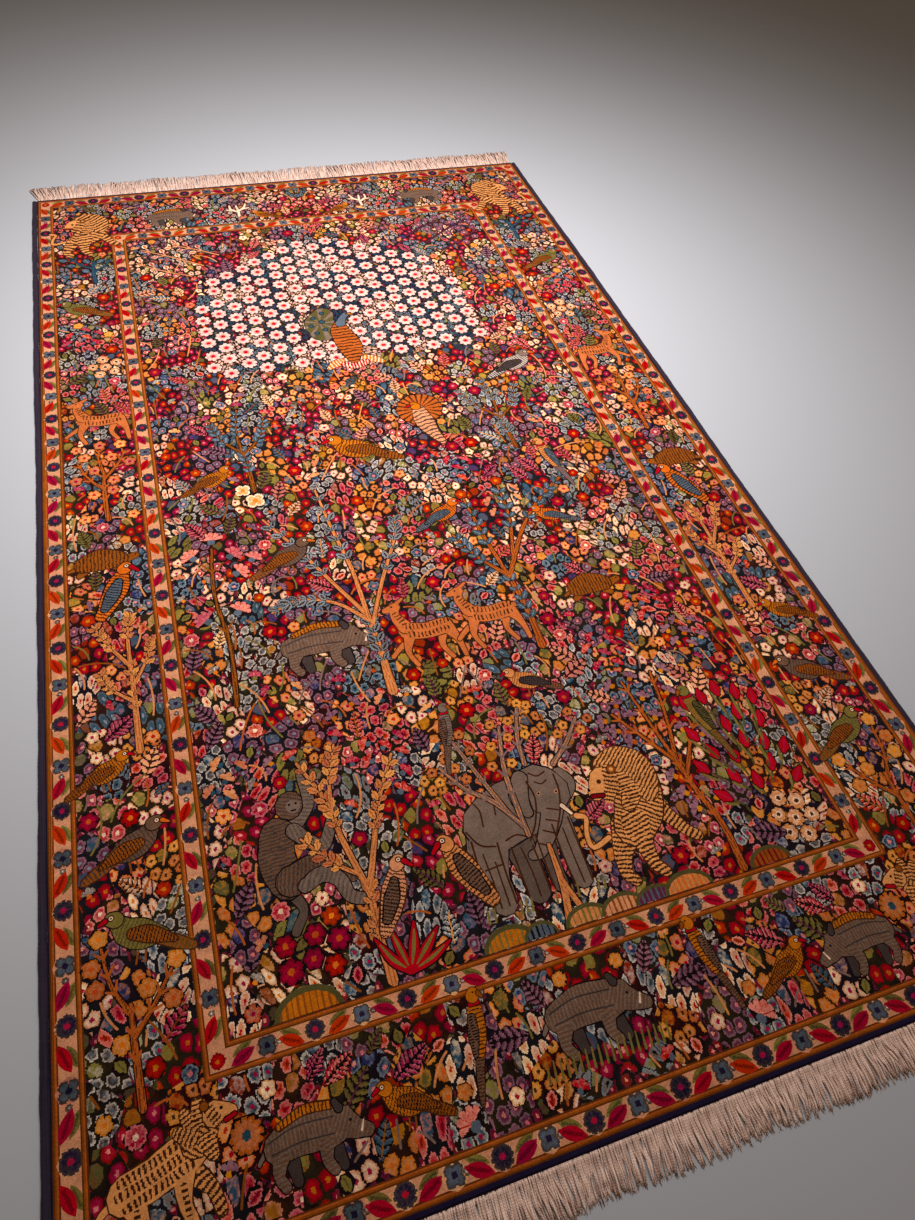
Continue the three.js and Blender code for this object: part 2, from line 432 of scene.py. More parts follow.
# Half sizes of what the bands leave inside them.
outer_half = (HALF_WIDTH, HALF_LENGTH - END_BAND)
border_half = (outer_half[0] - GUARD_SIDE, outer_half[1] - GUARD_END)
inner_half = (border_half[0] - BORDER_SIDE, border_half[1] - BORDER_END)
field_half = (inner_half[0] - INNER_SIDE, inner_half[1] - INNER_END)


def lay_ground(half, motif):
    lay(block(-half[0], -half[1], half[0], half[1]), motif)


# What grows on a guard, in shares of its radius: its distance from the lines, its flowers, the leaves' slant.
GUARD_GAP = 0.6
ROSETTE, BUTTERFLY, BUTTERFLY_DEPTH, DOT = 1.34, 1.36, 0.46, 0.46
LEAF_SLANT = 0.42

# A guard's edge line, from outside: share of its width at which each dye ends.
GUARD_LINE_DYES = ((0.24, "sienna"), (0.5, "ochre"), (0.76, "copper"), (1.0, "sienna"))


def guard(outside, inside):
    """One guard stripe between two half sizes: tan ground, gold lines along it and a run of flowers."""

    def ring(start, width):
        before = 0
        for share, dye in GUARD_LINE_DYES:
            x, y = start[0] - before * width, start[1] - before * width
            lay(block(-x, -y, x, y), plain(dye))
            before = share
        return start[0] - width, start[1] - width

    tan = ring(outside, GUARD_LINE)
    lay(block(-tan[0], -tan[1], tan[0], tan[1]), plain("buff"))
    line_start = (inside[0] + GUARD_LINE, inside[1] + GUARD_LINE)
    middle = ((tan[0] + line_start[0]) / 2, (tan[1] + line_start[1]) / 2)
    radius = (tan[0] - line_start[0]) / 2 - GUARD_GAP
    for side in (-1, 1):
        guard_run((side * middle[0], middle[1]), (side * middle[0], -middle[1]), GUARD_REPEAT_ALONG, radius)
        guard_run((-middle[0], side * middle[1]), (middle[0], side * middle[1]), GUARD_REPEAT_ACROSS, radius)
        for end in (-1, 1):
            guard_flower(side * middle[0], end * middle[1], radius, 0, "red", "gold", "madder", 8)
    ring(line_start, GUARD_LINE)


def guard_flower(x, y, radius, turn, fill, heart, rim, petals, depth=0.16):
    lay(round_outline(x, y, radius, 8),
        Motif("bloom", x, y, turn, radius, petals, depth, "buff", fill, heart, rim))


LEAF_STATIONS = (-1, -0.6, -0.2, 0.2, 0.6, 1)


def leaf_outline(x, y, turn, length, width):
    """A patch with a leaf's own shape, turned."""
    reach = np.array(LEAF_STATIONS)
    blade = np.stack([reach, width * (reach ** 2 - 1)], 1)
    rim = np.vstack([blade, (blade * (1, -1))[-2:0:-1]]) * length
    along = np.array([math.cos(turn), math.sin(turn)])
    return np.array([x, y]) + rim[:, :1] * along + rim[:, 1:] * (-along[1], along[0])


# A guard's leaf is drawn a little longer and wider than its patch, so that the patch cuts its edge.
GUARD_LEAF_LONGER, GUARD_LEAF_WIDER, GUARD_LEAF_RIB = 1.06, 1.2, 0.1


def guard_leaf(x, y, turn, length, width, fill, heart, rim_dye):
    lay(leaf_outline(x, y, turn, length, width),
        Motif("leaf", x, y, turn, length * GUARD_LEAF_LONGER, width * GUARD_LEAF_WIDER, GUARD_LEAF_RIB,
              fill, fill, heart, rim_dye))


# The leaves of one pair: share of the radius across, length, width, and the dyes of blade, midrib and edge.
GUARD_LEAVES = ((0.52, 1.46, 0.4, "olive", "moss", "olive"), (-0.36, 1.76, 0.44, "red", "madder", "red"))


def guard_run(start, end, repeat, radius):
    """Rosette, leaf pair, butterfly flower, leaf pair, again and again between two corner flowers."""
    start, end = np.array(start, float), np.array(end, float)
    length = np.linalg.norm(end - start)
    along = (end - start) / length
    heading = math.atan2(along[1], along[0])
    repeats = round(length / repeat)
    steps = 4 * repeats
    across = np.array([-along[1], along[0]])
    for step in range(1, steps):
        x, y = start + (end - start) * step / steps
        place = step % 4
        if place == 0:
            guard_flower(x, y, radius * ROSETTE, heading, "navy", "raspberry", "slate", 10)
        elif place == 2:
            guard_flower(x, y, radius * BUTTERFLY, heading + math.pi / 4, "steel", "navy", "slate", 4,
                         BUTTERFLY_DEPTH)
            dot = np.array([x, y]) + along * length / steps * 0.5
            guard_flower(*dot, radius * DOT, 0, "grey", "mist", "slate", 6)
        else:
            slant = heading + (LEAF_SLANT if place == 1 else -LEAF_SLANT)
            for side, reach, width, fill, heart, edge in GUARD_LEAVES:
                base = np.array([x, y]) + across * radius * side
                guard_leaf(*base, slant, radius * reach, width, fill, heart, edge)


# The arch of daisies in the upper field, in columns.
ARCH_X, ARCH_FOOT, ARCH_SPRING, ARCH_CROWN = -8, 345, 610, 868
ARCH_HALF = 318
ARCH_BULGE, ARCH_SHOULDER = 2.2, 0.62
DAISY_COLUMN, DAISY_STEP = 39.5, 45
DAISY_SWAY, DAISY_ROOM = 2.0, 0.3
FULL_TURN = 6.28


def in_arch(x, y):
    """True under the arch."""
    if y <= ARCH_SPRING:
        return y > ARCH_FOOT and abs(x - ARCH_X) < ARCH_HALF
    rise = (y - ARCH_SPRING) / (ARCH_CROWN - ARCH_SPRING)
    return rise < 1 and abs(x - ARCH_X) < ARCH_HALF * (1 - rise ** ARCH_BULGE) ** ARCH_SHOULDER


def field_room(x, y):
    return np.minimum(field_half[0] - abs(x), field_half[1] - abs(y))


def border_room(x, y):
    """Room to the border's own edges in its left half."""
    outer = np.minimum(border_half[0] - abs(x), border_half[1] - abs(y))
    inner = np.maximum(abs(x) - inner_half[0], abs(y) - inner_half[1])
    return np.minimum(np.minimum(outer, inner), 0 * y - x)


def sow_daisies(bed):
    columns = int(ARCH_HALF / DAISY_COLUMN)
    radius = FLOWERS["daisy"].radius
    for column in range(-columns, columns + 1):
        x = ARCH_X + column * DAISY_COLUMN
        heights = np.arange(ARCH_FOOT, ARCH_CROWN, DAISY_STEP) + (DAISY_STEP / 2 if column % 2 else 0)
        for y in heights:
            sway = rng.normal(0, DAISY_SWAY, 2)
            px, py = x + sway[0], y + sway[1]
            if in_arch(x, y) and bed.room_at(px, py) > radius * DAISY_ROOM:
                bed.set_flower(px, py, radius, "daisy", rng.uniform(0, FULL_TURN))


# Plants: the flower, and its share among all plants at the near end and at the far end.
PLANTS = (
    ("rose", 19, 9), ("mallow", 7, 16), ("pink", 4, 9), ("plum", 5, 11), ("violet", 3, 9),
    ("cream", 8, 10), ("buttercup", 8, 2), ("button", 5, 1), ("apricot", 9, 4), ("bluebell", 3, 7),
    ("aster", 3, 6), ("star", 3, 11), ("bud", 8, 5), ("pebble", 5, 4), ("blue_bud", 2, 6),
    ("olive_leaf", 3, 1), ("teal_leaf", 2, 6), ("red_leaf", 8, 3), ("currant", 9, 4), ("sloe", 2, 6),
    ("elder", 2, 5), ("grey_leaf", 2, 3),
)
ARCH_FILLERS = ("arch_leaf", "arch_bud", "arch_pale", "arch_leaf")

# Clumps with a place of their own: the flower, where, how many and how far they spread along their stem.
FIELD_CLUMPS = (
    ("mallow", -381, 740, 8, 0.8), ("rose", -298, 834, 8, 0.5), ("violet", -408, 880, 9, 0.8),
    ("bud", -430, 800, 8, 0.5), ("mallow", -349, 666, 4, 0.7), ("plum", -405, 641, 5, 0.6),
    ("button", -402, 566, 4, 0.8), ("star", -440, 556, 7, 0.6), ("mallow", -417, 450, 9, 0.5),
    ("star", -366, 391, 9, 0.7), ("rose", -436, 306, 4, 0.8), ("cream", -349, 259, 6, 0.7),
    ("mallow", 372, 760, 9, 0.8), ("rose", 300, 838, 7, 0.5), ("violet", 408, 870, 9, 0.8),
    ("bud", 440, 760, 8, 0.5), ("plum", 390, 660, 6, 0.6), ("apricot", 420, 590, 5, 0.6),
    ("mallow", 392, 510, 8, 0.5), ("star", 440, 430, 8, 0.6), ("mallow", 360, 420, 6, 0.7),
    ("cream", 425, 340, 5, 0.7), ("peony", -102, 236, 4, 1.0), ("bell", -178, 220, 4, 0.8),
    ("rose", -236, 146, 4, 0.8), ("bell", -182, 98, 6, 0.6), ("violet", -419, 206, 8, 0.7),
    ("comb", -374, 190, 1, 1.0), ("teal_leaf", -326, 130, 3, 0.7), ("rose", -440, 78, 8, 0.6),
    ("lily_star", -298, -30, 2, 1.0), ("rose", 85, 258, 8, 1.6), ("button", 158, 276, 6, 0.4),
    ("mallow", 252, 311, 5, 0.9), ("elder", 225, 262, 3, 0.8), ("mallow", 366, 140, 7, 0.7),
    ("plum", 304, 60, 8, 0.7), ("star", 206, 160, 8, 0.7), ("cream", 410, 110, 5, 0.6),
    ("tulip", 80, 6, 3, 1.0), ("cream", 28, -56, 8, 0.8), ("tulip", 116, -44, 4, 0.8),
    ("sloe", 205, -84, 5, 0.5), ("comb", 269, -66, 2, 0.8), ("lily", 186, -150, 4, 0.9),
    ("rose", 140, -196, 5, 0.8), ("peony", 352, -212, 8, 0.8), ("vetch", 430, -190, 2, 0.5),
    ("sloe", 226, -330, 5, 0.7), ("apricot", 282, -300, 5, 0.8), ("bluebell", 76, -352, 7, 1.3),
    ("currant", 186, -372, 4, 0.6), ("plum", 300, -362, 5, 1.2), ("tulip", 350, -458, 6, 1.5),
    ("violet", 221, -452, 7, 1.0), ("currant", 40, -468, 3, 0.8), ("vetch", 170, -560, 2, 0.6),
    ("tulip", 232, -546, 7, 1.0), ("buttercup", 312, -552, 5, 0.9), ("iris", 396, -540, 7, 0.7),
    ("vetch", 236, -640, 1, 1.0), ("bluebell", 204, -716, 6, 0.8), ("vetch", 372, -640, 2, 0.8),
    ("oxeye", 404, -904, 7, 1.0), ("comb", 92, -806, 1, 1.0), ("plum", 238, -856, 4, 0.7),
    ("fern", -440, -524, 2, 0.6), ("plum", -404, -560, 6, 0.8), ("lily", -432, -604, 5, 0.8),
    ("apricot", -232, -546, 7, 0.9), ("tulip", -186, -640, 7, 0.7), ("star", -254, -716, 8, 0.6),
    ("buttercup", -444, -774, 10, 0.4), ("lavender", -30, 700, 2, 0.4), ("lavender", 14, 700, 2, 0.4),
    ("lavender", -30, 790, 2, 0.4), ("lavender", 14, 790, 2, 0.4), ("lavender", -8, 640, 1, 0.4),
    ("elder", -206, -774, 3, 0.8), ("rose", -168, -750, 4, 0.8), ("garden_rose", -354, -892, 7, 1.0),
    ("button", -122, -694, 9, 0.8), ("blue_bud", -186, -880, 5, 0.6), ("elder", -424, -35, 4, 0.7),
    ("bluebell", -366, -72, 6, 0.8), ("cream", -446, -176, 6, 0.5), ("palmette", -356, -190, 2, 0.6),
    ("red_leaf", -268, -110, 8, 0.8), ("mallow", -146, -108, 11, 0.4), ("buttercup", -80, -114, 6, 0.8),
    ("comb", -212, -264, 1, 1.0), ("rose", -100, -300, 4, 0.8), ("plum", -258, -346, 8, 1.4),
    ("rose", -440, -320, 6, 0.6), ("apricot", -326, -470, 5, 1.0), ("star", -330, -400, 7, 0.6),
    ("rose", 60, -560, 6, 1.0), ("button", 60, -640, 8, 1.0), ("red_leaf", -40, -640, 8, 1.0),
    ("button", -40, -560, 6, 1.0), ("cream", -120, -560, 5, 1.0),
)
BORDER_CLUMPS = (
    ("peony", -600, -624, 6, 1.0), ("rose", -628, -712, 6, 0.6), ("star", -530, -778, 6, 0.7),
    ("buttercup", -584, -868, 9, 1.0), ("rose", -540, -958, 6, 0.7), ("star", -634, -984, 6, 0.6),
    ("aster", -460, -1018, 7, 1.2), ("sunflower", -470, -1062, 1, 1.0), ("comb", -378, -1014, 2, 1.3),
    ("sage", -340, -1048, 1, 1.0), ("sage", -300, -1010, 1, 1.0), ("comb", -262, -1046, 1, 1.0),
    ("rose", -226, -1006, 5, 1.0), ("buttercup", -240, -1082, 4, 1.0), ("elder", -178, -1002, 3, 1.2),
    ("palmette", -200, -1122, 1, 1.0), ("apricot", -122, -1030, 4, 1.0), ("bluebell", -92, -1002, 4, 1.2),
    ("rose", -20, -1008, 4, 1.4), ("button", -90, -1110, 5, 1.0), ("elder", -556, -100, 4, 0.8),
    ("rose", -530, -44, 4, 0.6), ("rose", -620, -330, 7, 0.6), ("teal_leaf", -606, -430, 4, 0.5),
    ("vetch", -630, -430, 1, 1.0), ("comb", -580, -470, 1, 1.0), ("apricot", -624, -200, 4, 0.6),
    ("violet", -634, -252, 3, 0.8), ("tulip", -590, 560, 8, 0.8), ("oxeye", -552, 444, 6, 1.0),
    ("sage", -612, 414, 1, 1.0), ("red_leaf", -540, 352, 5, 0.7), ("teal_leaf", -620, 252, 3, 0.5),
    ("button", -636, 300, 4, 0.4), ("apricot", -584, 128, 8, 0.9), ("rose", -570, 36, 6, 0.8),
    ("star", -638, 90, 7, 0.5), ("rue", -528, 96, 1, 1.0), ("mallow", -524, 700, 6, 0.6),
    ("cream", -634, 760, 5, 0.6), ("rose", -530, 620, 5, 0.6), ("peony", -440, 1040, 5, 1.0),
    ("elder", -230, 1070, 3, 1.0), ("tulip", -250, 1016, 5, 1.2), ("mallow", -60, 1010, 5, 1.2),
    ("peony", -18, 1080, 1, 1.0), ("cream", -60, 1120, 5, 1.6),
)


def sow_bed(bed, clumps):
    """Fills the ground: placed clumps, then zones of small flowers, stems, and single flowers over them."""
    seeds = []
    for name, x, y, most, stretch in clumps:
        if FLOWERS[name].form in POSY_FORMS and name not in DRAWN_SINGLY:
            seeds.append((x, y, name))
        else:
            bed.set_clump(name, x, y, most, math.pi / 2, stretch)
    shares = np.array([plant[1:] for plant in PLANTS], float)
    shares = shares / shares.sum(0)
    spread = bed.high - bed.low
    tries = int(spread[0] * spread[1] / ZONE_SPACING ** 2 * ZONE_TRIES)
    for x, y in bed.low + spread * rng.uniform(size=(tries, 2)):
        if bed.edge_room(x, y) < ZONE_EDGE_ROOM:
            continue
        if nearest(x, y, seeds) < ZONE_SPACING * ZONE_CLOSE:
            continue
        far = share_along(y)
        name = PLANTS[rng.choice(len(PLANTS), p=shares @ (1 - far, far))][0]
        if in_arch(x, y):
            name = ARCH_FILLERS[rng.integers(len(ARCH_FILLERS))]
        seeds.append((x, y, name))
    bed.set_zones(seeds)
    for x, y, name in seeds:
        if not in_arch(x, y):
            bed.set_stem(x, y, rng.normal(math.pi / 2, PLANT_LEAN), rng.uniform(*STEM_LENGTHS),
                         STEM_DYES[rng.integers(len(STEM_DYES))])
    singles = []
    for x, y in bed.low + spread * rng.uniform(size=(tries * 2, 2)):
        name = SINGLES[rng.integers(len(SINGLES))]
        radius = FLOWERS[name].radius * rng.uniform(*SINGLE_SIZES)
        if in_arch(x, y) or bed.room_at(x, y) < girth(name, radius) + FLOWER_GAP:
            continue
        if nearest(x, y, singles) < SINGLE_SPACING:
            continue
        singles.append((x, y))
        bed.set_flower(x, y, radius, name, rng.normal(math.pi / 2, SINGLE_LEAN))


# Beasts and birds, each drawn facing right, in millimetres from the ground under its middle.
# A group of strokes has a dye, the dye of its stripes, the width of one stripe (below 0: the number of rays),
# and for each stroke its points of x, y and half width. A bare group has no dark line around it.
LION = (
    ("wheat", None, 0, [[(-62, 66, 4), (-92, 58, 3.6), (-95, 80, 3.4), (-86, 106, 3.6), (-99, 114, 4.6)]]),
    ("wheat", "brown", 7, [[(34, 100, 17), (46, 76, 12), (64, 46, 9.5), (80, 30, 8)]]),
    ("wheat", "brown", 7, [[(-26, 74, 27), (-50, 38, 15), (-58, 8, 10), (-48, -8, 8)]]),
    ("wheat", "brown", 7, [[(24, 130, 36), (6, 98, 40), (-14, 72, 34)],
                           [(-10, 76, 25), (-11, 38, 14), (-8, 8, 10), (4, -8, 8)]]),
    ("wheat", "brown", 6, [[(-18, 180, 22), (6, 186, 24), (30, 172, 25), (40, 146, 21), (34, 120, 17)],
                           [(-6, 150, 20), (4, 126, 17), (-8, 108, 11)]]),
    ("wheat", None, 0, [[(-32, 160, 22), (-46, 146, 17), (-52, 141, 13)]]),
    ("wheat", "brown", 7, [[(-16, 172, 12), (-22, 146, 12), (-36, 126, 8)]], "bare"),
    ("ochre", None, 0, [[(-11, 173, 7)]]),
    ("wheat", None, 0, [[(-11, 173, 3.4)]], "bare"),
    ("madder", None, 0, [[(-60, 137, 2.9), (-42, 134, 2.9)]]),
    ("brown", None, 0, [[(-40, 158, 4.2)]], "bare"),
    ("night", None, 0, [[(-62, 148, 2.4)]]),
)
PROWLER = (
    ("wheat", None, 0, [[(-74, 66, 5), (-96, 50, 4.5), (-102, 20, 4.5), (-112, 6, 5)]]),
    ("wheat", "brown", 9, [[(-40, 56, 17), (-58, 28, 10), (-74, 8, 8)],
                           [(44, 66, 14), (66, 42, 9), (76, 12, 8)]]),
    ("wheat", None, 0, [[(-56, 70, 26), (-14, 80, 27), (38, 98, 29)],
                        [(-46, 58, 18), (-36, 28, 11), (-40, 8, 9)],
                        [(28, 74, 17), (26, 38, 10), (36, 8, 8)]]),
    ("wheat", "brown", 8, [[(-62, 86, 6.6), (-14, 98, 6.6), (34, 116, 7)],
                           [(-66, 70, 6.6), (-12, 81, 6.6), (40, 98, 7)],
                           [(-56, 53, 6), (-12, 64, 6.6), (40, 80, 7)], [(-42, 44, 5), (-38, 12, 4)],
                           [(26, 56, 5), (31, 12, 4)]], "bare"),
    ("wheat", "brown", 7, [[(50, 108, 24), (62, 122, 24)], [(46, 128, 13), (36, 146, 8)],
                           [(58, 138, 13), (56, 156, 8)],
                           [(42, 112, 13), (24, 124, 8)], [(66, 102, 14), (72, 84, 9)]]),
    ("wheat", None, 0, [[(80, 134, 18), (98, 132, 12), (106, 130, 9)]]),
    ("wheat", "brown", 7, [[(74, 140, 9), (84, 122, 8)]], "bare"),
    ("ochre", None, 0, [[(66, 148, 6)]]),
    ("red", None, 0, [[(96, 121, 3), (110, 125, 3)]]),
    ("night", None, 0, [[(91, 139, 2.6)]]),
)
GRASS_AT_FEET = (-96, -86, -46, -38, -30, 8, 34, 42, 74, 84)
ELEPHANT = (
    ("grey", None, 0, [[(-86, 116, 4), (-93, 88, 3), (-88, 62, 4)]]),
    ("ash", None, 0, [[(-18, 92, 24), (-13, 46, 18), (-12, 13, 17)],
                      [(24, 98, 17), (21, 46, 12), (23, 13, 11)]]),
    ("grey", None, 0, [[(-46, 126, 45), (-10, 138, 48), (28, 144, 46)],
                       [(-60, 100, 30), (-66, 50, 20), (-65, 13, 19)],
                       [(54, 112, 19), (56, 54, 15), (57, 13, 15)]]),
    ("grey", None, 0, [[(82, 174, 11), (91, 156, 12), (84, 138, 7)]]),
    ("grey", None, 0, [[(42, 162, 38), (54, 150, 36)],
                       [(58, 138, 19), (46, 112, 16), (28, 86, 13), (10, 66, 9), (-2, 64, 7)]]),
    ("grey", None, 0, [[(20, 184, 12), (8, 156, 15), (13, 128, 8)]]),
    ("brown", None, 0, [[(-85, 108, 1.6), (-86, 60, 1.5), (-82, 6, 1.6)],
                        [(-48, 96, 1.6), (-50, 50, 1.5), (-49, 6, 1.6)],
                        [(-74, 86, 1.2), (-72, 40, 1.2), (-72, 6, 1.4)],
                        [(-60, 70, 1.2), (-60, 40, 1.2), (-60, 6, 1.4)],
                        [(-30, 84, 1.5), (-29, 40, 1.4), (-28, 6, 1.5)],
                        [(2, 78, 1.5), (4, 40, 1.4), (4, 6, 1.5)],
                        [(-16, 80, 1.2), (-12, 40, 1.2), (-12, 6, 1.3)],
                        [(12, 92, 1.4), (11, 50, 1.3), (12, 6, 1.4)],
                        [(42, 100, 1.5), (41, 50, 1.4), (43, 6, 1.5)],
                        [(70, 104, 1.4), (70, 50, 1.3), (70, 6, 1.5)],
                        [(56, 90, 1.2), (56, 50, 1.2), (57, 6, 1.3)],
                        [(-88, 124, 1.5), (-74, 100, 1.5), (-52, 92, 1.5)],
                        [(-78, 62, 1.3), (-50, 64, 1.3)], [(-66, 168, 1.3), (-58, 150, 1.3), (-60, 126, 1.3)],
                        [(-44, 178, 1.3), (-34, 160, 1.3), (-36, 138, 1.3)],
                        [(-34, 96, 1.4), (-16, 100, 1.4), (0, 92, 1.4)],
                        [(28, 176, 1.5), (32, 146, 1.5), (20, 112, 1.5), (2, 86, 1.4)],
                        [(74, 176, 1.5), (73, 148, 1.5), (62, 116, 1.5), (42, 82, 1.4)],
                        [(44, 126, 1.3), (60, 119, 1.3)], [(36, 110, 1.3), (53, 102, 1.3)],
                        [(26, 95, 1.3), (42, 86, 1.3)],
                        [(13, 78, 1.3), (27, 70, 1.3)], [(36, 188, 1.3), (48, 180, 1.3), (62, 184, 1.3)],
                        [(40, 172, 1.2), (50, 166, 1.2), (60, 170, 1.2)]]),
    ("cream", None, 0, [[(68, 124, 3.2), (78, 108, 2)]]),
    ("tan", None, 0, [[(40, 152, 3)], [(68, 148, 3)]], "bare"),
    ("night", None, 0, [[(40, 152, 2)], [(68, 148, 2)]]),
    ("olive", None, 0, [[(at, -10, 1.8), (at + 3, 8, 1.1)] for at in GRASS_AT_FEET]),
)
BLADES = (
    ("red", None, 0, [[(-1, 0, 3), (-20, 22, 7), (-37, 54, 1.5)], [(0, 0, 3), (-7, 30, 6), (-14, 64, 1.5)],
                      [(1, 0, 3), (12, 30, 7), (20, 62, 1.5)], [(2, 0, 3), (28, 24, 7), (50, 46, 1.5)],
                      [(2, 0, 3), (34, 10, 6), (62, 24, 1.5)]]),
    ("olive", None, 0, [[(-6, 8, 1), (-20, 23, 2.8), (-32, 45, 1)],
                        [(-2, 10, 1), (-7, 32, 2.4), (-12, 54, 1)],
                        [(4, 10, 1), (12, 31, 2.8), (18, 52, 1)], [(10, 8, 1), (28, 25, 2.8), (43, 40, 1)],
                        [(12, 4, 1), (34, 11, 2.4), (52, 20, 1)]], "bare"),
)
MONKEY = (
    ("ash", None, 0, [[(-14, 58, 8), (-4, 34, 6), (-20, 8, 6)]]),
    ("grey", "ash", 6, [[(10, 162, 11), (32, 190, 9), (30, 232, 8), (36, 250, 7)]]),
    ("umber", "slate", 5.5, [[(-22, 152, 24), (-28, 112, 26), (-18, 78, 25)]]),
    ("umber", "slate", 5.5, [[(-14, 78, 22), (26, 92, 16), (52, 80, 10), (72, 60, 7)]]),
    ("grey", "ash", 7, [[(4, 66, 10), (30, 76, 11), (52, 62, 10), (62, 36, 9), (80, 26, 8)]]),
    ("grey", "ash", 6, [[(2, 150, 11), (28, 122, 10), (44, 120, 9), (66, 166, 7)]]),
    ("umber", "slate", 5.5, [[(2, 188, 20), (4, 193, 19)]]),
    ("grey", None, 0, [[(8, 187, 11)]], "bare"),
    ("night", None, 0, [[(3, 191, 1.9)], [(13, 191, 1.9)], [(5, 181, 1.3), (11, 181, 1.3)]]),
)
DEER = (
    ("fawn", None, 0, [[(-56, 86, 4), (-66, 79, 3)]]),
    ("fawn", None, 0, [[(-34, 66, 9), (-26, 36, 5), (-38, 8, 4)], [(30, 62, 8), (52, 50, 5), (70, 34, 4)]]),
    ("fawn", None, 0, [[(-40, 78, 18), (0, 76, 17), (30, 84, 18)], [(-46, 72, 13), (-58, 40, 6), (-62, 6, 4)],
                       [(30, 70, 11), (40, 36, 5), (30, 6, 4)]]),
    ("fawn", None, 0, [[(32, 92, 14), (44, 120, 9), (42, 138, 8)], [(40, 142, 10), (60, 138, 5.5)],
                       [(34, 150, 4), (22, 158, 2.4)]]),
    ("fawn", "brown", 7.5, [[(-48, 89, 6), (-4, 86, 6), (30, 94, 7)], [(-44, 72, 6), (0, 68, 6), (26, 74, 7)],
                            [(34, 104, 7), (44, 128, 5)]], "bare"),
    ("night", None, 0, [[(46, 144, 2)]]),
)
BOAR = (
    ("grey", None, 0, [[(-64, 62, 4), (-80, 44, 2.5)]]),
    ("slate", None, 0, [[(-34, 40, 11), (-28, 8, 7)], [(32, 40, 10), (40, 8, 7)]]),
    ("umber", "grey", 6, [[(-50, 58, 22), (-10, 64, 27), (34, 60, 26)],
                          [(-48, 44, 13), (-54, 22, 8), (-46, 6, 7)],
                          [(20, 42, 12), (18, 20, 8), (26, 6, 7)],
                          [(48, 60, 22), (66, 48, 14), (84, 40, 9)]]),
    ("slate", None, 0, [[(-64, 66, 1.3), (-20, 76, 1.3), (36, 72, 1.3)],
                        [(-60, 50, 1.3), (-16, 54, 1.3), (34, 50, 1.3)]]),
    ("gold", "brown", 6, [[(-46, 82, 4), (-6, 93, 6), (36, 88, 5)]]),
    ("slate", None, 0, [[(46, 80, 6), (41, 90, 4)]]),
    ("cream", None, 0, [[(74, 42, 1.8), (79, 54, 1.2)]]),
    ("night", None, 0, [[(60, 60, 2.2)]]),
)
GRASS = (
    ("olive", None, 0, [[(at, -8, 1.8), (at + 3, 14, 1.1)] for at in range(-84, 90, 9)]),
)
TORTOISE = (
    ("ochre", None, 0, [[(-26, 12, 7), (-36, 3, 5)], [(24, 12, 7), (34, 3, 5)], [(40, 24, 8), (57, 29, 6)],
                        [(-42, 20, 4), (-54, 15, 2)]]),
    ("ochre", "brown", 6, [[(-26, 27, 18), (0, 32, 23), (26, 27, 18)]]),
    ("night", None, 0, [[(57, 31, 1.6)]]),
)


def bird(body, wing, stripe, beak="red"):
    """A bird at rest on a twig."""
    return (
        ("ochre", None, 0, [[(2, 18, 1.5), (8, -6, 1.5)], [(-8, 18, 1.5), (-5, -6, 1.5)]]),
        (wing, stripe, 6, [[(-30, 22, 9), (-54, 8, 9), (-74, -2, 6)]]),
        (body, stripe, 6, [[(-34, 26, 9), (-8, 33, 21), (16, 44, 20), (29, 58, 13)]]),
        (body, None, 0, [[(33, 66, 12), (38, 68, 11)]]),
        (wing, "night", 5, [[(-50, 14, 3.4), (-16, 31, 12), (10, 39, 8)]]),
        (beak, None, 0, [[(48, 68, 3.6), (58, 63, 1.4)]]),
        ("cream", None, 0, [[(39, 70, 3.2)]]),
        ("night", None, 0, [[(39, 70, 1.5)]]),
    )


def partridge(body, wing, stripe):
    """A bird that stands upright, with its tail to the ground."""
    return (
        (body, stripe, 6, [[(-2, 74, 10), (-12, 46, 18), (-26, 16, 15), (-40, -10, 9)]]),
        (body, None, 0, [[(0, 80, 11), (3, 84, 10)]]),
        (wing, "night", 5, [[(-10, 56, 6), (-20, 32, 11), (-34, 4, 6)]]),
        ("red", None, 0, [[(12, 82, 4), (22, 72, 2)]]),
        ("cream", None, 0, [[(4, 86, 3)]]),
        ("night", None, 0, [[(4, 86, 1.4)]]),
    )


def parrot(body, wing, stripe):
    """A bird that clings to a branch, with a long tail."""
    return (
        (wing, stripe, 6, [[(-2, 6, 9), (-18, -46, 7), (-26, -84, 4)]]),
        (body, stripe, 7, [[(-4, 0, 10), (2, 36, 17), (8, 74, 14)]]),
        ("red", None, 0, [[(2, 84, 4), (18, 84, 4)]]),
        (body, None, 0, [[(11, 98, 13), (13, 102, 12)]]),
        (wing, "night", 5, [[(-14, -4, 4), (-8, 30, 10), (-2, 60, 8)]]),
        ("ochre", None, 0, [[(24, 100, 4.5), (29, 92, 2)]]),
        ("night", None, 0, [[(14, 104, 2)]]),
    )


PEACOCK = (
    ("orange", "cream", 8, [[(-4, 14, 10), (-40, 10, 12), (-62, -4, 6)],
                            [(4, 14, 10), (40, 10, 12), (62, -4, 6)]]),
    ("red", "cream", 7, [[(-24, 2, 9), (0, -6, 12), (24, 2, 9)]]),
    ("moss", "grey", -9, [[(-50, 128, 30), (-50, 168, 36), (-36, 200, 26)]]),
    ("teal", None, 0, [[(-62, 190, 5)], [(-38, 206, 5)], [(-72, 160, 5)], [(-44, 172, 6)], [(-64, 130, 5)],
                       [(-42, 140, 5)]]),
    ("copper", "brown", 11, [[(0, 18, 14), (2, 54, 27), (-2, 92, 28), (-8, 128, 23), (-4, 152, 15)]]),
    ("steel", None, 0, [[(-2, 156, 12), (8, 178, 8), (18, 190, 8)]]),
    ("gold", None, 0, [[(26, 192, 3), (34, 188, 1.4)]]),
    ("night", None, 0, [[(20, 193, 1.8)]]),
)
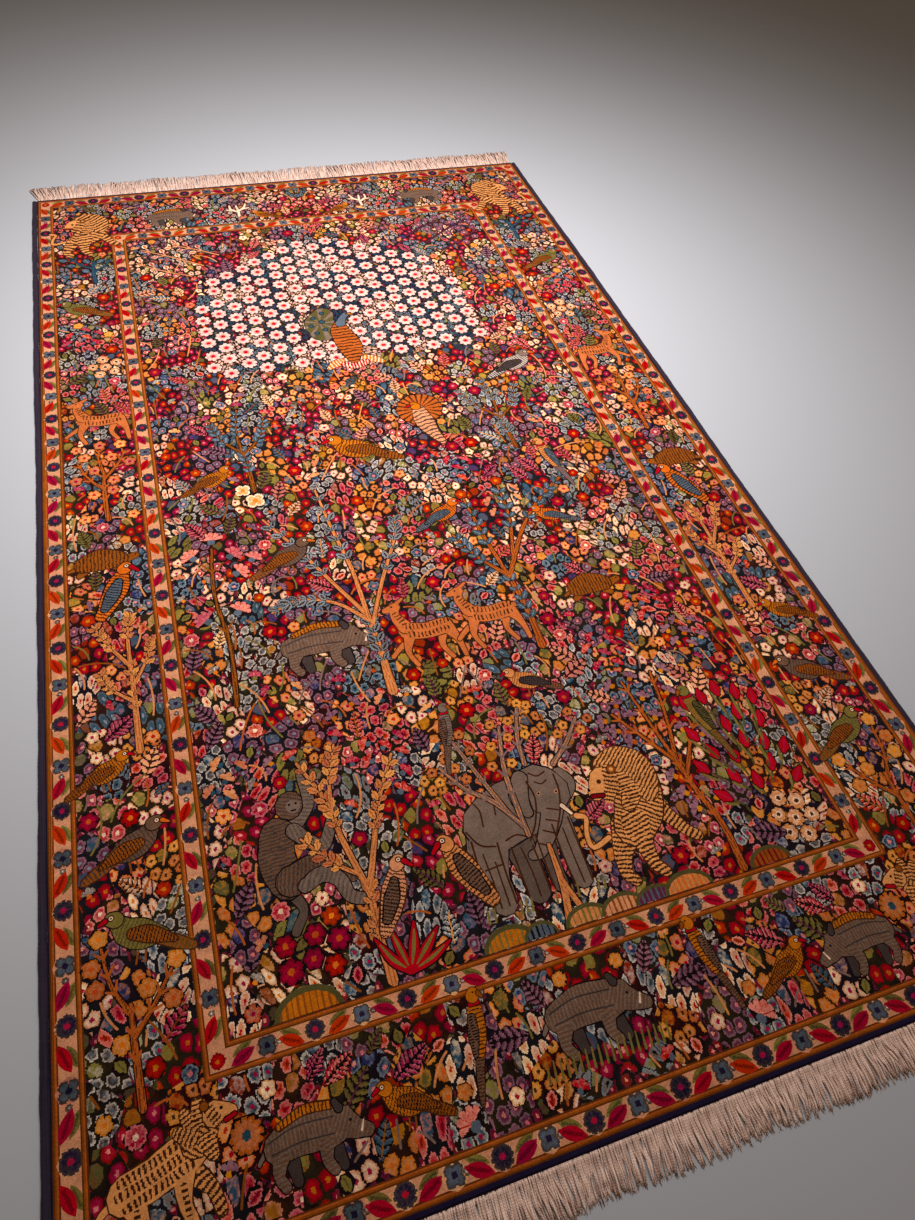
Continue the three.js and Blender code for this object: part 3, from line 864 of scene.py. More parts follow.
FAN_BIRD = (
    ("copper", "brown", -20, [[(-4, 86, 46), (4, 88, 46)]]),
    ("tan", "slate", 10, [[(-2, 84, 14), (0, 50, 20), (8, 12, 13), (20, -18, 7)]]),
    ("gold", None, 0, [[(-6, 96, 10), (-9, 101, 9)]]),
    ("red", None, 0, [[(-18, 102, 3), (-26, 98, 1.4)]]),
    ("night", None, 0, [[(-10, 103, 1.6)]]),
)
CORAL = (
    ("cream", None, 0, [[(0, -26, 3), (1, 0, 3), (-2, 24, 2)], [(0, -6, 3), (-16, 8, 3), (-18, 26, 2)],
                        [(1, -2, 3), (16, 12, 3), (22, 30, 2)], [(-10, 4, 2.8), (-26, 6, 2)],
                        [(10, 6, 2.8), (28, 10, 2)]]),
)
GOLD_BIRD = bird("gold", "ochre", "brown")
BROWN_BIRD = bird("umber", "ochre", "slate", "orange")
GREY_BIRD = bird("grey", "slate", "mist", "orange")
BLUE_BIRD = bird("orange", "steel", "brown")
OLIVE_BIRD = bird("olive", "ochre", "moss")

# The dark line round a group, which the finest strokes go without, and how stripes are drawn.
OUTLINE = 2.0
OUTLINED_FROM = 2.8
BOLD_STRIPE, FINE_STRIPE, STRIPE_WAVE = 1.4, 1.1, 0.4
SPOT_STEP = 0.2
RAY_SIZE = 10
WARM_COATS = ("honey", "wheat", "fawn", "gold", "ochre", "cream", "tan")
drawn = []


def draw(bed, groups, x, y, scale=1.0, flip=1, twin=True, stripes=1.0):
    """Draws a beast over the flowers and takes its ground."""
    twin = twin and bed is border_bed
    for dye, stripe, width, strokes, *bare in groups:
        lines = []
        for stroke in strokes:
            points = stroke if len(stroke) > 1 else [stroke[0], np.add(stroke[0], (SPOT_STEP, 0, 0))]
            line = smooth_line(points) * (flip * scale, scale, scale) + (x, y, 0)
            bed.take_line(line)
            lines.append(line)
        spread = OUTLINE if strokes[0][0][2] > OUTLINED_FROM else 0
        if spread and not bare:
            edge = "brown" if dye in WARM_COATS else "night"
            drawn.extend((twin, stroke_outline(line, spread * scale), plain(edge)) for line in lines)
        for line in lines:
            first, last = line[0], line[-1]
            turn = math.atan2(last[1] - first[1], last[0] - first[0])
            coat = plain(dye)
            if width > 0:
                bold = BOLD_STRIPE if dye == "wheat" else FINE_STRIPE
                coat = Motif("coat", first[0], first[1], turn, width * scale * stripes, bold, STRIPE_WAVE,
                             dye, dye, stripe, dye)
            elif width < 0:
                middle = line[len(line) // 2]
                coat = Motif("rays", middle[0], middle[1], turn, RAY_SIZE, -width, 0, dye, dye, stripe, dye)
            drawn.append((twin, stroke_outline(line), coat))


def draw_stroke(bed, points, motif, rounding=2):
    line = np.asarray(points, float)
    bed.take_line(line)
    drawn.append((bed is border_bed, stroke_outline(line, 0, rounding), motif))


# The dye of the streaks in each kind of bark.
STREAKS = {"bark": "copper", "copper": "sienna", "umber": "slate", "ochre": "brown", "teal": "indigo",
           "dusk": "bark", "purple": "night", "tan": "ochre"}

# Limbs, in shares of the half widths that are listed. Twigs leave a limb on both sides of its outer part.
LIMB_SHARE = 0.78
LIMB_BARE = 2 / 5
BARK_OUTLINE = 1.7
BARK_STREAK, BARK_STREAK_SHARE, BARK_WAVE = 5, 0.8, 0.3
TWIG_TURNS = (0.55, 0.8)
TWIG_LENGTHS = (0.8, 1.3)
TWIG_SHARE, TWIG_LEAST, TWIG_TIP = 0.6, 1.9, 1.2

# A leaf, in shares of its twig's length: the room that it takes, and the size of its patch and blade.
LEAF_ROOM = 0.4
LEAF_PATCH, LEAF_PATCH_WIDTH = 0.62, 0.58
LEAF_BLADE, LEAF_BLADE_WIDTH = 0.54, 0.52
TIP_GAP, TIP_ROOM = 0.6, 0.86


def heading_of(step):
    return math.atan2(step[1], step[0])


def grow_tree(bed, limbs, dye, flower, twig=20.0, every=3, leaf=None):
    """A tree: tapering limbs, with twigs or leaves on both sides, and a flower at each tip."""
    tips = []
    lines = [smooth_line(limb) * (1, 1, LIMB_SHARE) for limb in limbs]
    drawn.extend((bed is border_bed, stroke_outline(line, BARK_OUTLINE, 2), plain("night")) for line in lines)
    for line in lines:
        across = heading_of(line[-1] - line[0]) + math.pi / 2
        bark = Motif("coat", line[0, 0], line[0, 1], across, BARK_STREAK, BARK_STREAK_SHARE, BARK_WAVE,
                     dye, dye, STREAKS[dye], dye)
        draw_stroke(bed, line, bark)
        for at in range(int(len(line) * LIMB_BARE), len(line) - 1, every):
            ahead = heading_of(line[at + 1] - line[at])
            for side in (-1, 1):
                heading = ahead + side * rng.uniform(*TWIG_TURNS)
                step = np.array([math.cos(heading), math.sin(heading)])
                start, half = line[at, :2], max(line[at, 2] * TWIG_SHARE, TWIG_LEAST)
                reach = twig * rng.uniform(*TWIG_LENGTHS)
                if leaf:
                    set_leaf(bed, start + step * (half + reach * 0.5), heading, reach, FLOWERS[leaf])
                    continue
                middle, tip = start + step * reach * 0.5, start + step * reach
                draw_stroke(bed, [(*start, half), (*middle, half), (*tip, TWIG_TIP)], plain(dye), 1)
                tips.append((tip, heading))
        tips.append((line[-1, :2], heading_of(line[-1] - line[-2])))
    radius = FLOWERS[flower].radius
    for tip, heading in tips:
        x, y = tip + (radius + TIP_GAP) * np.array([math.cos(heading), math.sin(heading)])
        if bed.room_at(x, y) > radius * TIP_ROOM:
            bed.set_flower(x, y, radius, flower, heading)


def set_leaf(bed, place, heading, reach, kind):
    """One leaf of a tree, on its own dark patch."""
    x, y = place
    bed.take(x, y, reach * LEAF_ROOM)
    drawn.append((bed is border_bed, leaf_outline(x, y, heading, reach * LEAF_PATCH, LEAF_PATCH_WIDTH),
                  Motif("leaf", x, y, heading, reach * LEAF_BLADE, LEAF_BLADE_WIDTH, kind.depth, "night",
                        kind.fill, kind.heart, kind.rim)))


# Heads of the tulip bush beside the tree on the right, in millimetres from its foot.
TULIPS = ((-60, 60), (-30, 84), (0, 66), (34, 88), (62, 60), (-72, 112), (-44, 130), (-14, 116), (14, 136),
          (44, 124), (70, 110), (-62, 168), (-30, 180), (0, 170), (28, 186), (58, 164), (-48, 222),
          (-16, 228), (14, 236), (44, 222), (68, 206))

# One tulip: the head's reach and half widths, the blade's height, offset and half widths, and the stem.
TULIP_HEAD = ((0, 4.5), (10, 8.8), (25, 2.6))
TULIP_BLADE = ((0.84, 2, 1.8), (0.94, 7, 2.6), (1.05, 11, 1.2))
TULIP_STEM, TULIP_STEM_SHARES = 1.8, ((0.7, 0.76), (0.86, 0.9), (1, 1))
TULIP_VEIN, TULIP_VEIN_LENGTH = 1.2, 20


def tulip_bush(bed, x, y):
    """Red tulips that lean out from one root, each on a short stem with a blade beside it."""
    for dx, dy in TULIPS:
        foot = np.array([dx, dy])
        along = foot / math.hypot(dx, dy)
        side = np.array([-along[1], along[0]])
        head = [(*(foot + along * reach), half) for reach, half in TULIP_HEAD]
        blade = [(*(foot * share + side * out), half) for share, out, half in TULIP_BLADE]
        draw(bed, (
            ("moss", None, 0, [[(dx * across, dy * up, TULIP_STEM) for across, up in TULIP_STEM_SHARES]]),
            ("olive", None, 0, [blade]),
            ("red", None, 0, [head]),
            ("raspberry", None, 0, [[(dx, dy, TULIP_VEIN),
                                     (*(foot + along * TULIP_VEIN_LENGTH), TULIP_VEIN)]], "bare"),
        ), x, y)


MOUND_POINTS = 9
MOUND_RIM = (0.84, 0.76)
MOUND_STRIPE = 8
MOUND_TAKEN, MOUND_TAKES = 0.8, 7
MOUND_MIDDLE, MOUND_ROOM = 0.3, 0.6


def mound(bed, x, foot, half, height, dye, stripe):
    """A striped hillock on the foot of the field."""
    turns = np.linspace(0, math.pi, MOUND_POINTS)
    hill = np.stack([x + half * np.cos(turns), foot + height * np.sin(turns)], 1)
    for share in np.linspace(-MOUND_TAKEN, MOUND_TAKEN, MOUND_TAKES):
        room = height * MOUND_ROOM * math.sqrt(1 - share ** 2)
        bed.take(x + share * half, foot + height * MOUND_MIDDLE, room)
    drawn.append((bed is border_bed, hill, plain("moss")))
    inner = (hill - (x, foot)) * MOUND_RIM + (x, foot)
    coat = Motif("coat", x, foot, 0, MOUND_STRIPE, 1.0, 0, dye, dye, stripe, dye)
    drawn.append((bed is border_bed, inner, coat))


def knot_drawing():
    """Lays the drawn strokes over everything else; those of the border again on its other half."""
    for twin, outline, motif in drawn:
        lay(outline, motif)
        if twin:
            lay((outline * (-1, 1))[::-1], motif._replace(x=-motif.x, turn=math.pi - motif.turn))


field_bed = Bed((-field_half[0], -field_half[1]), field_half, field_room)
border_bed = Bed((-border_half[0], -border_half[1]), (0, border_half[1]), border_room)

# The field from its foot upwards.
draw(field_bed, ELEPHANT, -14, -908)
draw(field_bed, LION, 164, -914, 0.95)
draw(field_bed, MONKEY, -350, -860)
grow_tree(field_bed, [
    [(-258, -950, 9), (-262, -880, 7), (-258, -812, 6.5)],
    [(-260, -830, 6), (-282, -740, 5), (-292, -680, 4.5), (-324, -606, 3)],
    [(-288, -700, 4), (-280, -640, 3.4), (-262, -590, 2.6)],
    [(-258, -820, 6), (-236, -756, 5), (-216, -700, 4), (-178, -630, 3)],
    [(-268, -800, 4), (-300, -774, 3.4), (-340, -726, 2.6)],
], "bark", "tulip", 15, 1, "bark_leaf")
grow_tree(field_bed, [
    [(0, -950, 7), (10, -900, 6), (12, -836, 4)], [(30, -950, 6), (18, -912, 5), (13, -890, 4)],
], "bark", "button", 4, 9)
grow_tree(field_bed, [
    [(-12, -814, 4), (-14, -760, 5), (-12, -700, 4.4), (4, -630, 3)],
    [(-14, -800, 4), (-44, -752, 4.6), (-84, -716, 4), (-110, -674, 3)],
    [(-30, -772, 4), (-56, -700, 4), (-78, -636, 3)],
    [(66, -716, 5), (100, -688, 4.4), (134, -648, 3)],
    [(22, -704, 4.6), (26, -660, 4), (44, -606, 3)],
], "dusk", "button", 14, 2)
draw(field_bed, BLADES, -232, -946)
grow_tree(field_bed, [
    [(284, -950, 8), (286, -880, 6), (272, -820, 5.5), (264, -760, 5)],
    [(266, -770, 4.6), (232, -716, 4), (196, -660, 3)],
    [(264, -764, 4.4), (252, -690, 3.6), (238, -606, 2.6)],
    [(264, -764, 4.4), (284, -690, 3.6), (296, -600, 2.6)],
    [(272, -790, 4.4), (310, -730, 3.4), (346, -690, 2.6)],
], "copper", "iris", 16, 2)
tulip_bush(field_bed, 378, -908)
draw(field_bed, partridge("tan", "umber", "brown"), -214, -876, 0.95)
draw(field_bed, partridge("honey", "umber", "brown"), -136, -876, 1.05, -1)
draw(field_bed, parrot("olive", "moss", "ochre"), 344, -724, 0.74, -1)
draw(field_bed, bird("honey", "slate", "ochre"), 80, -586, 0.72, -1)
draw(field_bed, parrot("grey", "umber", "slate"), -82, -634, 0.62)
for hill in ((-372, 46, 34, "gold", "ochre"), (-90, 40, 30, "gold", "olive"), (-44, 26, 22, "steel", "night"),
             (28, 36, 26, "honey", "olive"), (84, 36, 26, "tan", "ochre"), (136, 34, 22, "purple", "steel"),
             (190, 40, 28, "honey", "orange"), (330, 36, 26, "ochre", "madder")):
    mound(field_bed, hill[0], -field_half[1] + 1, *hill[1:])

# The middle of the field.
draw(field_bed, BOAR, -240, -452, 1.0)
draw(field_bed, DEER, -62, -488, 0.94, -1)
draw(field_bed, DEER, 60, -482, 0.94, -1)
draw(field_bed, TORTOISE, 268, -424)
grow_tree(field_bed, [
    [(-146, -520, 11), (-146, -440, 7), (-150, -360, 6)],
    [(-150, -370, 5), (-200, -318, 4), (-262, -296, 3.4), (-312, -312, 2.6)],
    [(-150, -360, 5.4), (-196, -270, 4.4), (-236, -190, 4), (-292, -90, 2.8)],
    [(-150, -364, 5.4), (-154, -250, 4.6), (-168, -150, 4), (-180, -36, 2.8)],
    [(-146, -380, 5), (-106, -290, 4.2), (-60, -200, 3.4), (-44, -140, 2.6)],
], "bark", "star", 17, 1, "grey_leaf")
grow_tree(field_bed, [
    [(132, -500, 9), (134, -420, 6.5), (126, -330, 6)],
    [(128, -340, 5.6), (196, -230, 4.6), (262, -160, 4), (340, -104, 3)],
    [(126, -330, 5), (112, -230, 4), (104, -130, 2.8)],
    [(126, -336, 5), (84, -280, 4), (54, -216, 2.8)],
    [(150, -300, 4.4), (178, -200, 3.6), (184, -110, 2.6)],
], "copper", "rose", 17, 1, "teal_leaf")
grow_tree(field_bed, [
    [(-398, -480, 5), (-392, -360, 4.4), (-404, -250, 3.6), (-396, -140, 3)],
], "ochre", "palmette", 26, 5)
grow_tree(field_bed, [
    [(-296, -10, 6), (-298, 60, 5), (-304, 120, 4)], [(-302, 100, 4), (-340, 150, 3), (-358, 206, 2.4)],
    [(-304, 110, 4), (-306, 170, 3), (-296, 236, 2.4)], [(-302, 96, 4), (-262, 140, 3), (-244, 200, 2.4)],
], "ochre", "poppy", 15, 1, "teal_leaf")
grow_tree(field_bed, [
    [(262, -10, 6), (260, 50, 5), (258, 106, 4)], [(258, 90, 4), (216, 140, 3), (192, 200, 2.4)],
    [(258, 100, 4), (262, 160, 3), (252, 224, 2.4)], [(260, 86, 4), (304, 130, 3), (330, 196, 2.4)],
], "ochre", "mallow", 15, 1, "grey_leaf")
draw(field_bed, GOLD_BIRD, -72, 20, 1.15, -1)
draw(field_bed, FAN_BIRD, 92, 62, 1.05)
draw(field_bed, GOLD_BIRD, -372, 10, 0.8)
draw(field_bed, GREY_BIRD, 356, 226, 1.0)
draw(field_bed, parrot("honey", "steel", "ochre"), 322, -80, 0.75, -1)
draw(field_bed, BLUE_BIRD, 52, -186, 0.8)
draw(field_bed, BROWN_BIRD, -262, -226, 0.95)
draw(field_bed, BLUE_BIRD, 262, -236, 0.7, -1)
draw(field_bed, PEACOCK, -8, 338, 1.0)

# Sprays that spread from the arch into the field's two far corners.
for side, bark, flower in ((-1, "tan", "bud"), (1, "purple", "violet")):
    grow_tree(field_bed, [
        [(side * 296, 806, 3), (side * 364, 856, 2.8), (side * 440, 906, 2.2)],
        [(side * 330, 764, 3), (side * 396, 800, 2.8), (side * 456, 846, 2.2)],
        [(side * 252, 848, 3), (side * 306, 884, 2.8), (side * 360, 914, 2.2)],
    ], bark, flower, 14, 2)

# The left half of the border; the other half mirrors it.
draw(border_bed, LION, -566, 918, 0.9, stripes=1.9)
draw(border_bed, BOAR, -352, 1016, 0.82)
draw(border_bed, GOLD_BIRD, -106, 1004, 0.62, -1)
draw(border_bed, CORAL, -172, 1058, 1.1)
draw(border_bed, OLIVE_BIRD, -596, 640, 0.9, -1)
draw(border_bed, DEER, -576, 196, 0.92, -1)
draw(border_bed, TORTOISE, -590, -150, 1.05)
draw(border_bed, partridge("orange", "steel", "brown"), -552, -236, 1.1)
draw(border_bed, GOLD_BIRD, -604, -570, 0.74)
draw(border_bed, BROWN_BIRD, -572, -702, 0.9)
draw(border_bed, OLIVE_BIRD, -572, -826, 0.9, -1)
draw(border_bed, PROWLER, -566, -1134, 0.78)
draw(border_bed, BOAR, -396, -1132, 0.8)
draw(border_bed, GOLD_BIRD, -276, -1112, 0.7, -1)
draw(border_bed, BOAR[:4] + BOAR[5:], -14, -1108, 0.9, twin=False)
draw(border_bed, GRASS, -14, -1114, twin=False)
draw(border_bed, parrot("gold", "umber", "brown"), -170, -1062, 0.66)
grow_tree(border_bed, [
    [(-552, -520, 7), (-554, -420, 5.5), (-556, -340, 4.6)],
    [(-556, -360, 4.4), (-588, -310, 3.4), (-612, -262, 2.6)],
    [(-556, -350, 4.2), (-556, -290, 3.4), (-548, -250, 2.6)],
    [(-554, -400, 4), (-528, -350, 3), (-520, -310, 2.4)],
    [(-554, -430, 4), (-590, -396, 3), (-606, -360, 2.4)],
], "bark", "rose", 13, 1, "bark_leaf")
grow_tree(border_bed, [
    [(-572, -20, 6), (-576, 50, 5), (-574, 110, 4)], [(-575, 60, 4), (-604, 100, 3), (-622, 144, 2.4)],
    [(-574, 90, 4), (-546, 130, 3), (-530, 164, 2.4)], [(-574, 100, 4), (-582, 150, 3), (-580, 176, 2.2)],
], "copper", "apricot", 14, 2)
grow_tree(border_bed, [
    [(-584, -1000, 6), (-588, -930, 5), (-590, -880, 4)],
    [(-588, -920, 4), (-560, -886, 3), (-536, -850, 2.4)],
    [(-590, -890, 4), (-612, -850, 3), (-622, -800, 2.4)],
], "copper", "buttercup", 14, 2)
grow_tree(border_bed, [
    [(-556, 780, 6), (-560, 830, 5), (-556, 876, 4)], [(-558, 840, 4), (-590, 866, 3), (-612, 900, 2.4)],
    [(-556, 830, 4), (-530, 850, 3), (-520, 880, 2.4)],
], "teal", "teal_leaf", 14)

sow_daisies(field_bed)
sow_bed(field_bed, FIELD_CLUMPS)
sow_bed(border_bed, BORDER_CLUMPS)

# What shows wherever no zone reaches.
STRAY_FLOWERS = Motif("posy", 0, 0, math.pi / 2, 15, 5, 0.26, "night", "madder", "rose", "purple", "moss")

# Everything is laid from the edge inwards, and then from the ground upwards.
lay_ground((HALF_WIDTH, HALF_LENGTH), plain("navy"))
guard(outer_half, border_half)
lay_ground(border_half, STRAY_FLOWERS)
border_bed.knot_zones("night", mirrored=True)
guard(inner_half, field_half)
lay_ground(field_half, STRAY_FLOWERS)
field_bed.knot_zones("night")
field_bed.knot("night")
border_bed.knot("night", mirrored=True)
knot_drawing()


# From patches to the woven sheet.
def edge_profile(side):
    """The cloth's own edge on one side, as places along it and half widths there."""
    points = np.array([v.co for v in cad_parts["rug_body"].data.vertices])
    points = points[(points[:, 2] < MM) & (points[:, 0] * side > 0)]
    points = points[np.argsort(points[:, 1])]
    return (points[:, 1] - CLOTH_MIDDLE_Y) / MM, np.abs(points[:, 0]) / MM


EDGES = {side: edge_profile(side) for side in (-1, 1)}


def on_cloth(x, y):
    """Moves points of the drawn pattern onto the cloth, whose sides wander a little, in metres."""
    x, y = np.asarray(x, float), np.asarray(y, float)
    reach = np.where(x < 0, np.interp(y, *EDGES[-1]), np.interp(y, *EDGES[1]))
    inset = 1 - PILE_SLOPE / HALF_WIDTH
    shorten = 1 - PILE_SLOPE / HALF_LENGTH
    return x / HALF_WIDTH * reach * inset * MM, y * shorten * MM + CLOTH_MIDDLE_Y


# Points this near are joined, in the pattern and in metres. Triangles are made inside the outlines.
JOIN = 1e-4
JOIN_METRES = 1e-9
INSIDE = 1
ON_RIM = 1e-3


def woven_pattern():
    """The patches as one sheet of triangles, each with the motif that was laid on top there."""
    points = np.vstack([outline for outline, _ in patches])
    ends = np.cumsum([len(outline) for outline, _ in patches])
    faces = [list(range(end - len(outline), end)) for end, (outline, _) in zip(ends, patches)]
    found = delaunay_2d_cdt([Vector(p) for p in points], [], faces, INSIDE, JOIN)
    verts = np.array([(v.x, v.y) for v in found[0]])
    return verts, np.array(found[2]), np.array([max(ids) for ids in found[5]])


def rim_loop(triangles):
    """The sheet's outer edge, as vertices in order."""
    edges = np.vstack([triangles[:, [0, 1]], triangles[:, [1, 2]], triangles[:, [2, 0]]])
    keys = {(a, b) for a, b in edges.tolist()}
    follow = {a: b for a, b in keys if (b, a) not in keys}
    loop = [next(iter(follow))]
    while follow[loop[-1]] != loop[0]:
        loop.append(follow[loop[-1]])
    return np.array(loop)


def woven_slab(name, sheet, face_up, levels):
    """A closed slab with the pattern on one face; levels are heights and insets from that face on."""
    verts, triangles, worn = sheet
    x, y = on_cloth(verts[:, 0], verts[:, 1])
    loop = rim_loop(triangles)
    outward = np.stack([np.sign(verts[loop, 0]) * (np.abs(verts[loop, 0]) > HALF_WIDTH - ON_RIM),
                        np.sign(verts[loop, 1]) * (np.abs(verts[loop, 1]) > HALF_LENGTH - ON_RIM)], 1)
    top = np.stack([x, y, np.full(len(x), levels[0][0])], 1)
    rings = []
    for height, reach in levels[1:]:
        rim = np.stack([x[loop], y[loop]], 1) + outward * reach
        rings.append(np.column_stack([rim, np.full(len(loop), height)]))
    faces = [triangles if face_up else triangles[:, ::-1]]
    rows = [loop] + [len(x) + i * len(loop) + np.arange(len(loop)) for i in range(len(rings))]
    for row, below in zip(rows, rows[1:]):
        ahead, ahead_below = np.roll(row, -1), np.roll(below, -1)
        quads = [np.stack([row, below, ahead_below], 1), np.stack([row, ahead_below, ahead], 1)]
        faces += quads if face_up else [q[:, ::-1] for q in quads]
    flat = [Vector(p) for p in rings[-1][:, :2]]
    cap = np.array(delaunay_2d_cdt(flat, [], [list(range(len(flat)))], INSIDE, JOIN_METRES)[2])
    cap = rows[-1][cap]
    faces.append(cap[:, ::-1] if face_up else cap)
    corners = np.vstack(faces)
    mesh = bpy.data.meshes.new(name)
    mesh.from_pydata(np.vstack([top, *rings]).tolist(), [], corners.tolist())
    worn = np.concatenate([worn, np.zeros(len(corners) - len(triangles), int)])
    dye_faces(mesh, worn)
    bake_map(mesh, len(triangles))
    piece = bpy.data.objects.new(name, mesh)
    bpy.context.scene.collection.objects.link(piece)
    return piece


def dye_faces(mesh, worn):
    """Gives each face what its motif needs: where and how it is drawn, and its dyes."""
    motifs = [motif for _, motif in patches]
    x, y = on_cloth([m.x for m in motifs], [m.y for m in motifs])
    numbers = {
        "motif_place": np.stack([x, y, [m.turn for m in motifs]], 1),
        "motif_shape": np.array([(m.size * MM, m.count, m.depth) for m in motifs]),
    }
    for key, table in numbers.items():
        mesh.attributes.new(key, "FLOAT_VECTOR", "FACE").data.foreach_set("vector", table[worn].ravel())
    forms = np.array([FORMS.index(m.form) for m in motifs], float)
    mesh.attributes.new("motif_form", "FLOAT", "FACE").data.foreach_set("value", forms[worn])
    for part in DYED_PARTS:
        table = np.array([(*DYES[getattr(m, part)], 1) for m in motifs])
        layer = mesh.attributes.new(f"dye_{part}", "FLOAT_COLOR", "FACE")
        layer.data.foreach_set("color", table[worn].ravel())


MAP_STRIP, MAP_STRIP_GAP, MAP_MARGIN = 0.04, 0.01, 0.005
MAP_WALL = 0.3


def bake_map(mesh, patterned):
    """A flat map: the patterned face has nearly all of the square, and the rest a strip along its foot."""
    corners = np.empty(len(mesh.loops), int)
    mesh.loops.foreach_get("vertex_index", corners)
    places = np.array([v.co[:] for v in mesh.vertices])
    low, high = places.min(0), places.max(0)
    unit = ((places - low) / (high - low))[corners]
    shown = np.arange(len(corners)) < 3 * patterned
    side = unit[:, 0] * (1 - 2 * MAP_MARGIN) + MAP_MARGIN
    pattern = MAP_STRIP + MAP_STRIP_GAP + unit[:, 1] * (1 - MAP_STRIP - MAP_STRIP_GAP - MAP_MARGIN)
    rest = (unit[:, 1] * (1 - MAP_WALL) + unit[:, 2] * MAP_WALL) * MAP_STRIP
    far = np.where(shown, pattern, rest)
    layer = mesh.uv_layers.new(name="OFBake")
    layer.uv.foreach_set("vector", np.stack([side, far], 1).astype(np.float32).ravel())


# Materials.
class Value:
    """One number that varies over a surface, and the sums that are done on it."""

    def __init__(self, surface, socket):
        self.surface = surface
        self.socket = socket

    def sum(self, operation, *others):
        return self.surface.node("ShaderNodeMath", {"operation": operation}, (self, *others))

    def clamp(self, most=1.0):
        """Kept between 0 and a greatest value."""
        return self.sum("MAXIMUM", 0.0).sum("MINIMUM", most)

    def also(self, output):
        """Another output of the same node."""
        return Value(self.surface, self.socket.node.outputs[output])

    def __add__(self, other):
        return self.sum("ADD", other)

    def __sub__(self, other):
        return self.sum("SUBTRACT", other)

    def __mul__(self, other):
        return self.sum("MULTIPLY", other)

    def __truediv__(self, other):
        return self.sum("DIVIDE", other)

    def __rsub__(self, other):
        return self.surface.node("ShaderNodeMath", {"operation": "SUBTRACT"}, (other, self))

    def __lt__(self, other):
        return self.sum("LESS_THAN", other)

    def __gt__(self, other):
        return self.sum("GREATER_THAN", other)

    def __abs__(self):
        return self.sum("ABSOLUTE")

    __radd__ = __add__
    __rmul__ = __mul__


class Surface:
    """A material's node tree, built up from one plain shader."""

    def __init__(self, name, **constants):
        self.material = bpy.data.materials.new(name)
        self.material.use_nodes = True
        self.tree = self.material.node_tree
        self.shader = self.tree.nodes["Principled BSDF"]
        for socket, value in constants.items():
            self.shader.inputs[socket.replace("_", " ")].default_value = value

    def node(self, kind, settings=None, inputs=(), output=0):
        made = self.tree.nodes.new(kind)
        for key, value in (settings or {}).items():
            setattr(made, key, value)
        for key, value in inputs.items() if isinstance(inputs, dict) else enumerate(inputs):
            if isinstance(value, Value):
                self.tree.links.new(value.socket, made.inputs[key])
            else:
                made.inputs[key].default_value = value
        return Value(self, made.outputs[output])

    def attribute(self, name, output):
        return self.node("ShaderNodeAttribute", {"attribute_name": name}, output=output)

    def parts(self, vector):
        first = self.node("ShaderNodeSeparateXYZ", inputs=(vector,))
        return first, first.also(1), first.also(2)

    def mix(self, share, first, second):
        return self.node("ShaderNodeMix", {"data_type": "RGBA"}, {0: share, 6: first, 7: second}, 2)

    def vector(self, operation, *inputs):
        return self.node("ShaderNodeVectorMath", {"operation": operation}, inputs)

    def noise(self, place, scale, detail=2.0):
        return self.node("ShaderNodeTexNoise", {}, {"Vector": place, "Scale": scale, "Detail": detail})

    def wear(self, socket, value):
        self.tree.links.new(value.socket, self.shader.inputs[socket])

    def bump(self, height, distance):
        inputs = {"Height": height, "Distance": distance, "Strength": 1.0}
        self.wear("Normal", self.node("ShaderNodeBump", {}, inputs, "Normal"))


# How the motifs are drawn, in shares of their own size. FAR_ROUND keeps a repeat's count above 0.
RIM = 0.24
BLOOM_REACH, BLOOM_HEART = 0.97, 0.27
VEIN, VEIN_START = 0.16, 0.3
DAISY_RING = 0.42
LEAF_HEART_REACH = 0.62
SPRIG_STEM, SPRIG_STEM_REACH = 0.045, 0.9
LEAFLET_SLANT, LEAFLET_OUT, LEAFLET_HALF, LEAFLET_TAPER = 0.55, 0.28, 0.25, 1.15
LEAFLET_ROUND, LEAFLET_REACH, LEAFLET_RIM = 7.0, 0.98, 0.12
FAN_SPREAD, FAN_VEIN = 1.45, 0.2
CALYX_BACK, CALYX_SIZE, CALYX_END = 0.24, 0.11, 0.08
STRIPE_HALF, STRIPE_STRAY = 0.17, 3.0
RAY_START = 0.45
FAR_ROUND = 50.0

# A posy's cells: how they are drawn out, how full they are, and how many hold a leaf.
LEAF_LIKE = 2.5
CELL_ALONG, CELL_LONGER = 0.82, 0.28
CELL_ACROSS, CELL_NARROWER = 1.0, 0.3
CELL_TURN = 6.0
CELL_LEAFY = 0.8
CELL_NOTCH = 0.9
CELL_REACH = 0.54
CELL_RIM_START, CELL_RIM_WIDTH = 0.06, 0.1
CELL_HEART = 0.13
CELL_GROUND_LEAF = 0.07
CLOTH_HALF = 1.2

# Grain of the wool: how often each kind of unevenness turns over in a metre, and what it does to the dye.
DRIFT_GRAIN, BLOTCH_GRAIN, MINGLE_GRAIN, FIBRE_GRAIN = 420.0, 60.0, 170.0, 1100.0
BAND_GRAIN = (1.5, 26.0, 1.0)
MINGLE_START, MINGLE_RISE, MINGLE_MOST, MINGLE_RIM = 0.42, 2.2, 0.6, 0.6
DYE_BASE, DYE_KNOT, DYE_FIBRE, DYE_BAND, DYE_OWN, DYE_BLOTCH = 0.5, 0.3, 0.6, 0.3, 0.5, 0.6
HUE_MIDDLE, HUE_OWN = 0.5, 0.03
PILE_SATURATION = 1.04
BACK_SATURATION, BACK_VALUE = 0.8, 1.15

# Bump: what each kind of unevenness adds, and its whole height in millimetres.
RAISED_BUMP, KNOT_BUMP, FIBRE_BUMP, PILE_BUMP = 0.6, 0.4, 0.9, 0.9
BACK_KNOT_BUMP, BACK_FIBRE_BUMP, BACK_BUMP = 0.4, 0.3, 0.4


